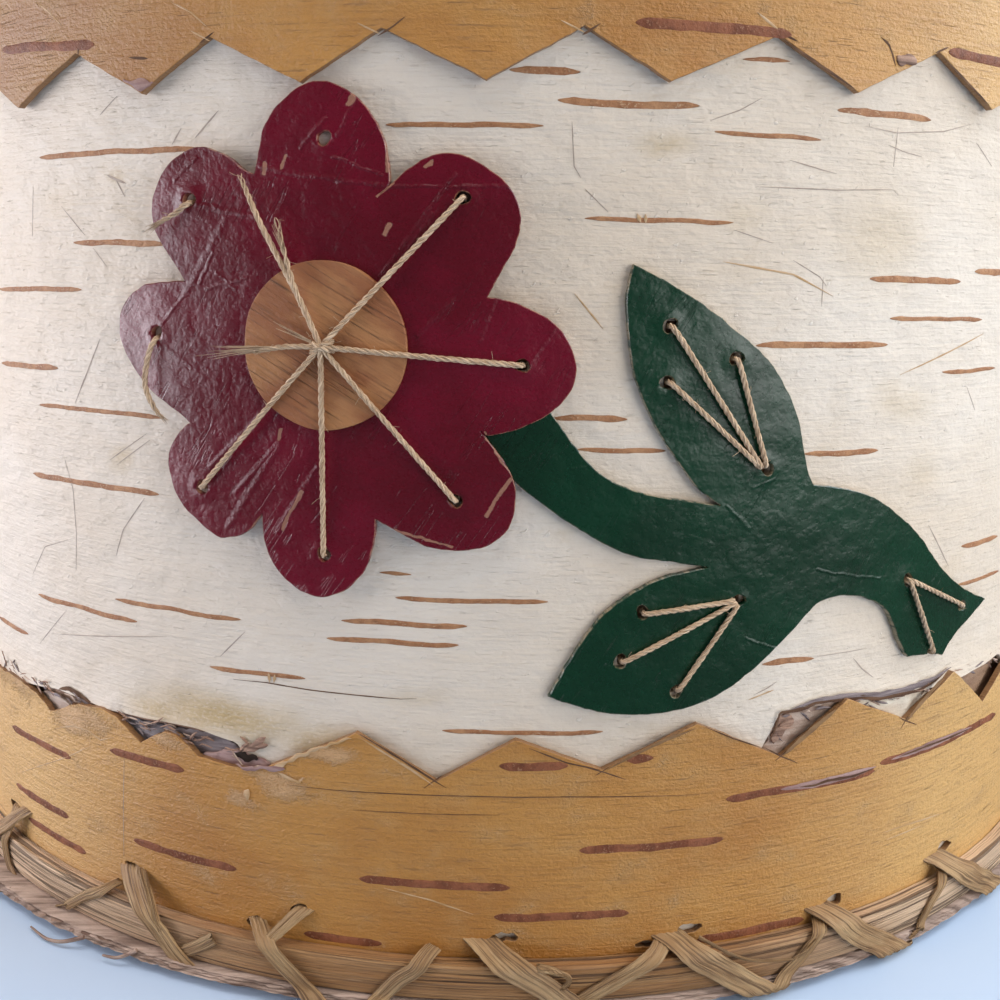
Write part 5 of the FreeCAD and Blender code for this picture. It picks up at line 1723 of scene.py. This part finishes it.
for pile, strips, lift, ribs in ((pile_over, front_over, over_lift, 4.5),
                                 (pile_under, front_under, under_lift, 3.5)):
    for number, (places, widths, sewn, end) in enumerate(strips):
        front_strip(pile, places, widths, sewn, end, lift, 1.7 * number + lift, ribs)

# %% A loose strand, and split fibres at three ends
strand = [(27.2, 1.9, 112.0), (28.6, 1.1, 112.8), (31.0, 0.1, 114.1), (36.4, -1.7, 114.5),
          (41.4, -2.0, 114.5), (44.1, -0.7, 114.0)]
ribbon(pile_over, even(smooth(strand, 6), strip_step), (0.5, 0.4), 57, 1.5)
for start, seed in (((-65.0, -4.2), 3), ((-42.9, -4.4), 5), ((64.8, -5.0), 8)):
    for hair in range(5):
        lean = ripple((hair, seed, 0), 0.7)
        path = [(start[0], start[1], hoop_face + 0.25),
                (start[0] - 1.0 + lean, start[1] - 0.5 + 0.4 * lean, hoop_face + 0.35),
                (start[0] - 1.9 + 1.6 * lean, start[1] - 0.7 + lean, hoop_face + 0.3)]
        ribbon(pile_under, even(smooth(path, 4), 0.4), (0.3, 0.15), seed + hair, 1.5)

# %% [markdown]
# The lashing goes on all the way round, in turns at an even spacing that a hand leaves a little
# uneven. An Array modifier could repeat one turn. A loop gives each its own width and ribs.

# %% Turns round the back
turns_round = 26
first_turn = -2.6
uneven_turns = {-3: -1.4, -2: 2.4, -1: -0.8, 0: 3.6, 1: 2.0, 2: -3.0, 3: -3.7}
turn_pitch = 2 * math.pi * wall_radius / turns_round
turn_places = [first_turn + turn_pitch * count + uneven_turns.get(count, 0.0)
               for count in range(-(turns_round // 2), turns_round - turns_round // 2)]
chance = random.Random(11)
for number, place in enumerate(turn_places):
    if abs(place) < front_half:
        continue
    start = place + chance.uniform(-0.6, 0.9)
    wide = chance.uniform(3.1, 4.1)
    for pile, hole_up, lift, lean, widths, ribs in ((pile_over, 2.4, over_lift, 12.3, (wide, wide), 4.5),
                                                   (pile_under, 1.9, under_lift, -8.2, (2.3, 2.6), 3.5)):
        profile = foot_profile(hole_up, lift, start + lean)
        down = down_to(profile, disc_line)
        slope = lean / down
        path = [(start - 0.5 * slope, 0.5), (start + lean, down), (start + lean + 7 * slope, down + 7)]
        strip(pile, profile, path, widths, number + lean, ribs)
for name, pile, node in (("lashing_over", pile_over, "base_over_turns"),
                         ("lashing_under", pile_under, "base_under_turns")):
    pile.piece(name, root_strip, slot="lashing_strip", replaces=[node], sharp=60)


# %% Turns of the rim and the lid
def closed_turns(name, node, body, profile, along_at, width):
    """Turns that go all round a profile of (radius, level), leaning with the level."""
    pile = Pile()
    for number, place in enumerate(turn_places):
        route = [Vector((place + along_at(level), level - hoop_top, radius)) for radius, level in profile]
        route = even(smooth(route, 6, closed=True) + route[:1], 0.5)
        ribbon(pile, route, (width, width), number + 120 + len(name))
    pile.piece(name, root_strip, body, "lashing_strip", [node], 60)


rim_inner = reach("rim_inner_hoop")[0]
rim_bottom, rim_top = levels("rim_outer_hoop")
closed_turns("rim_lashing", "rim_turns", "box", [
    (band_face - 1.0, rim_bottom - 1.5), (band_face + 0.25, rim_bottom - 1.2),
    (hoop_face - 0.2, rim_bottom - 0.3), (hoop_face + 0.1, rim_bottom + 0.6),
    (hoop_face + 0.1, rim_top - 0.5), (hoop_face - 0.4, rim_top + 0.08),
    (rim_inner + 0.4, rim_top + 0.08), (rim_inner - 0.1, rim_top - 0.5),
    (rim_inner - 0.1, rim_bottom - 0.4), (rim_inner + 0.3, rim_bottom - 1.2),
], lambda level: 0.94 * (level - rim_bottom + 3.0), 3.6)
lid_low, lid_high = levels("lid_hoop")
lid_floor = levels("lid_top_disc")[0]
closed_turns("lid_lashing", "lid_edge_turns", "lid", [
    (hoop_inner - 4.0, lid_floor - 0.1), (hoop_face - 0.4, lid_floor - 0.1),
    (hoop_face + 0.1, lid_floor + 0.5), (hoop_face + 0.1, lid_high - 0.5),
    (hoop_face - 0.4, lid_high + 0.08), (hoop_inner + 0.3, lid_high + 0.08),
    (hoop_inner - 2.0, (lid_high + lid_surface) / 2), (hoop_inner - 3.7, lid_surface + 0.2),
], lambda level: -2.8 + 0.492 * (9.0 - (level - lid_low)), 3.4)


# %% [markdown]
# ## Base disc
# The box stands on a disc of several layers of bark, flaky at its edge, which reaches further out
# on the left of the front. Cylinders would give it a smooth edge. A ring of sections for each
# layer lets the edge wave and fray.

# %% Layers of the disc
layers = 4
sides = 900
ring_inner = 60.0
pile = Pile()
thick = (disc_top - disc_floor) / layers
for number in range(layers):
    low = disc_floor + number * thick
    rows = []
    for step in range(sides + 1):
        angle = 2 * math.pi * (step % sides) / sides
        turn = angle if angle < math.pi else angle - 2 * math.pi
        edge = disc_edge(turn, number)
        sag = 0.10 * ripple((turn * 30, number, 9), 1.0)
        out = Vector((math.sin(turn), -math.cos(turn), 0))
        row = []
        for distance, height in ((ring_inner, 0.02), (edge - 2.0, 0.02), (edge - 0.2, 0.04 + sag),
                                 (edge, 0.5 * thick + sag), (edge - 0.2, thick - 0.07 + sag),
                                 (edge - 2.0, thick - 0.02), (ring_inner, thick - 0.02)):
            row.append(out * distance + UP * (low + height))
        rows.append(row)
    pile.rows(rows, capped=False, seed=number * 3.0)
middle = []
for height in (disc_floor + 0.03, disc_top - 0.03):
    angles = [2 * math.pi * step / 60 for step in range(60)]
    reach_out = ring_inner + 0.5
    middle.append([Vector((reach_out * math.cos(angle), reach_out * math.sin(angle), height))
                   for angle in angles])
pile.rows(middle)
pile.piece("flaky_disc", bark_base, slot="base_bark", replaces=["base_disc"], sharp=50)

# %% Flakes and loose fibres at the foot
pile = Pile()
chance = random.Random(19)
front_flakes, flakes = 15, 46
for number in range(flakes):
    along = -86 + 3 * number if number < front_flakes else chance.uniform(front_half, 600)
    edge = disc_edge(math.remainder(along / wall_radius, 2 * math.pi), 3) - 0.6
    size = chance.uniform(1.0, 6.5)
    curl = chance.uniform(-0.35, 0.45)
    rows = []
    for step in range(6):
        share = step / 5
        place = along + size * (share - 0.5)
        reach_by = (0.45 + 0.6 * math.sin(math.pi * share)) * (1 + 0.8 * ripple((place, number, 0), 1.0))
        level = disc_top - hoop_top - 0.35
        section = [(0.0, 0.0), (0.4 * curl - 0.05, 0.5 * reach_by), (curl - 0.15, reach_by),
                   (0.4 * curl - 0.20, 0.5 * reach_by), (-0.15, 0.0)]
        rows.append([on_wall(place, level + rise, edge + out) for rise, out in section])
    pile.rows(rows, seed=number * 1.7)
fibres = [
    [(-58.6, -5.9, 115.8), (-61.4, -6.9, 117.2), (-64.6, -7.5, 117.6), (-68.7, -7.5, 117.3)],
    [(-77.0, -5.6, 115.6), (-80.2, -6.6, 116.8), (-84.4, -6.4, 117.0)],
    [(-49.5, -5.3, 114.8), (-51.8, -6.5, 116.0), (-54.4, -6.9, 116.3)],
]
for number, fibre_path in enumerate(fibres):
    path = smooth([on_wall(*place) for place in fibre_path], 5)
    pile.tube(path, [0.34 - 0.2 * step / len(path) for step in range(len(path))], 6, number)
pile.piece("base_flakes", bark_flake, slot="base_bark", sharp=60)

# %% [markdown]
# ## Stage, light and camera
# The box stands on a pale blue floor, and soft lamps light it from both sides. The floor can't be
# seen in glossy surfaces, because its mirror image would veil the dark paint. The camera stands
# close to the wall and looks down a little at the picture's middle.

# %% Floor
backdrop = Recipe("backdrop", roughness=0.9, specular=0.1).done((0.58, 0.72, 0.93))
bpy.ops.mesh.primitive_plane_add(size=8, location=(0, 0, 0))
floor = bpy.context.object
floor.name = "floor"
floor.data.materials.append(backdrop)
floor.visible_glossy = False

# %% Lights
box_middle = Vector((0, 0, 0.09))


def soft_light(name, azimuth, elevation, distance, width, height, power, colour):
    """A large soft light that looks at the box. Azimuth is 0 in front and positive to the right."""
    turn, tilt = math.radians(azimuth), math.radians(elevation)
    away = Vector((math.sin(turn) * math.cos(tilt), -math.cos(turn) * math.cos(tilt), math.sin(tilt)))
    light = bpy.data.lights.new(name, "AREA")
    light.shape = "RECTANGLE"
    light.size = width
    light.size_y = height
    light.energy = power
    light.color = colour
    holder = bpy.data.objects.new(name, light)
    holder.location = box_middle + away * distance
    holder.rotation_euler = away.to_track_quat("Z", "Y").to_euler()
    scene.collection.objects.link(holder)


soft_light("left_window", -82, -2, 0.6, 0.5, 0.35, 4.7, (0.96, 0.94, 1.0))
soft_light("right_high", 88, 30, 0.7, 0.5, 0.4, 3.0, (0.78, 0.89, 1.0))
soft_light("right_fill", 50, 12, 0.8, 0.5, 0.5, 3.5, (0.95, 0.94, 0.93))
soft_light("ceiling", 0, 66, 0.42, 0.7, 0.25, 0.5, (1.0, 0.95, 0.91))
soft_light("back_fill", 180, 40, 1.3, 1.0, 0.8, 9.0, (0.95, 0.97, 1.0))
bpy.data.lights["ceiling"].spread = math.radians(90)

# %% World: dim as a light, and pale where the camera sees it
world = bpy.data.worlds.new("studio")
world.use_nodes = True
sky = Nodes(world.node_tree)
seen = sky.node("ShaderNodeLightPath", {}, {}, "Is Camera Ray")
shade = sky.blend(seen, (0.12, 0.12, 0.12), (0.60, 0.70, 0.84))
sky.feed(sky.tree.nodes["Background"].inputs["Color"], shade)
scene.world = world
print("lights", len(bpy.data.lights))

# %% Camera
camera_height = 86.5     # above the base hoop's top edge
camera_distance = 234.24     # from the box's axis
focal_length = 37.667
heading, pitch, roll = -0.00146934, 0.19997356, 0.01780157     # in radians
ahead_flat = Vector((math.sin(heading), math.cos(heading), 0))
right_flat = Vector((math.cos(heading), -math.sin(heading), 0))
ahead = ahead_flat * math.cos(pitch) - UP * math.sin(pitch)
up_flat = ahead_flat * math.sin(pitch) + UP * math.cos(pitch)
right = right_flat * math.cos(roll) + up_flat * math.sin(roll)
top = up_flat * math.cos(roll) - right_flat * math.sin(roll)
eye = Vector((0, -camera_distance, hoop_top + camera_height)) * MM
lens = bpy.data.cameras.new("camera")
lens.sensor_width = 36.0
lens.lens = focal_length
lens.clip_start = 0.01
camera = bpy.data.objects.new("camera", lens)
scene.collection.objects.link(camera)
turn = Matrix((right, top, -ahead)).transposed()
camera.matrix_world = Matrix.Translation(eye) @ turn.to_4x4()
scene.camera = camera
scene.view_settings.view_transform = "Standard"
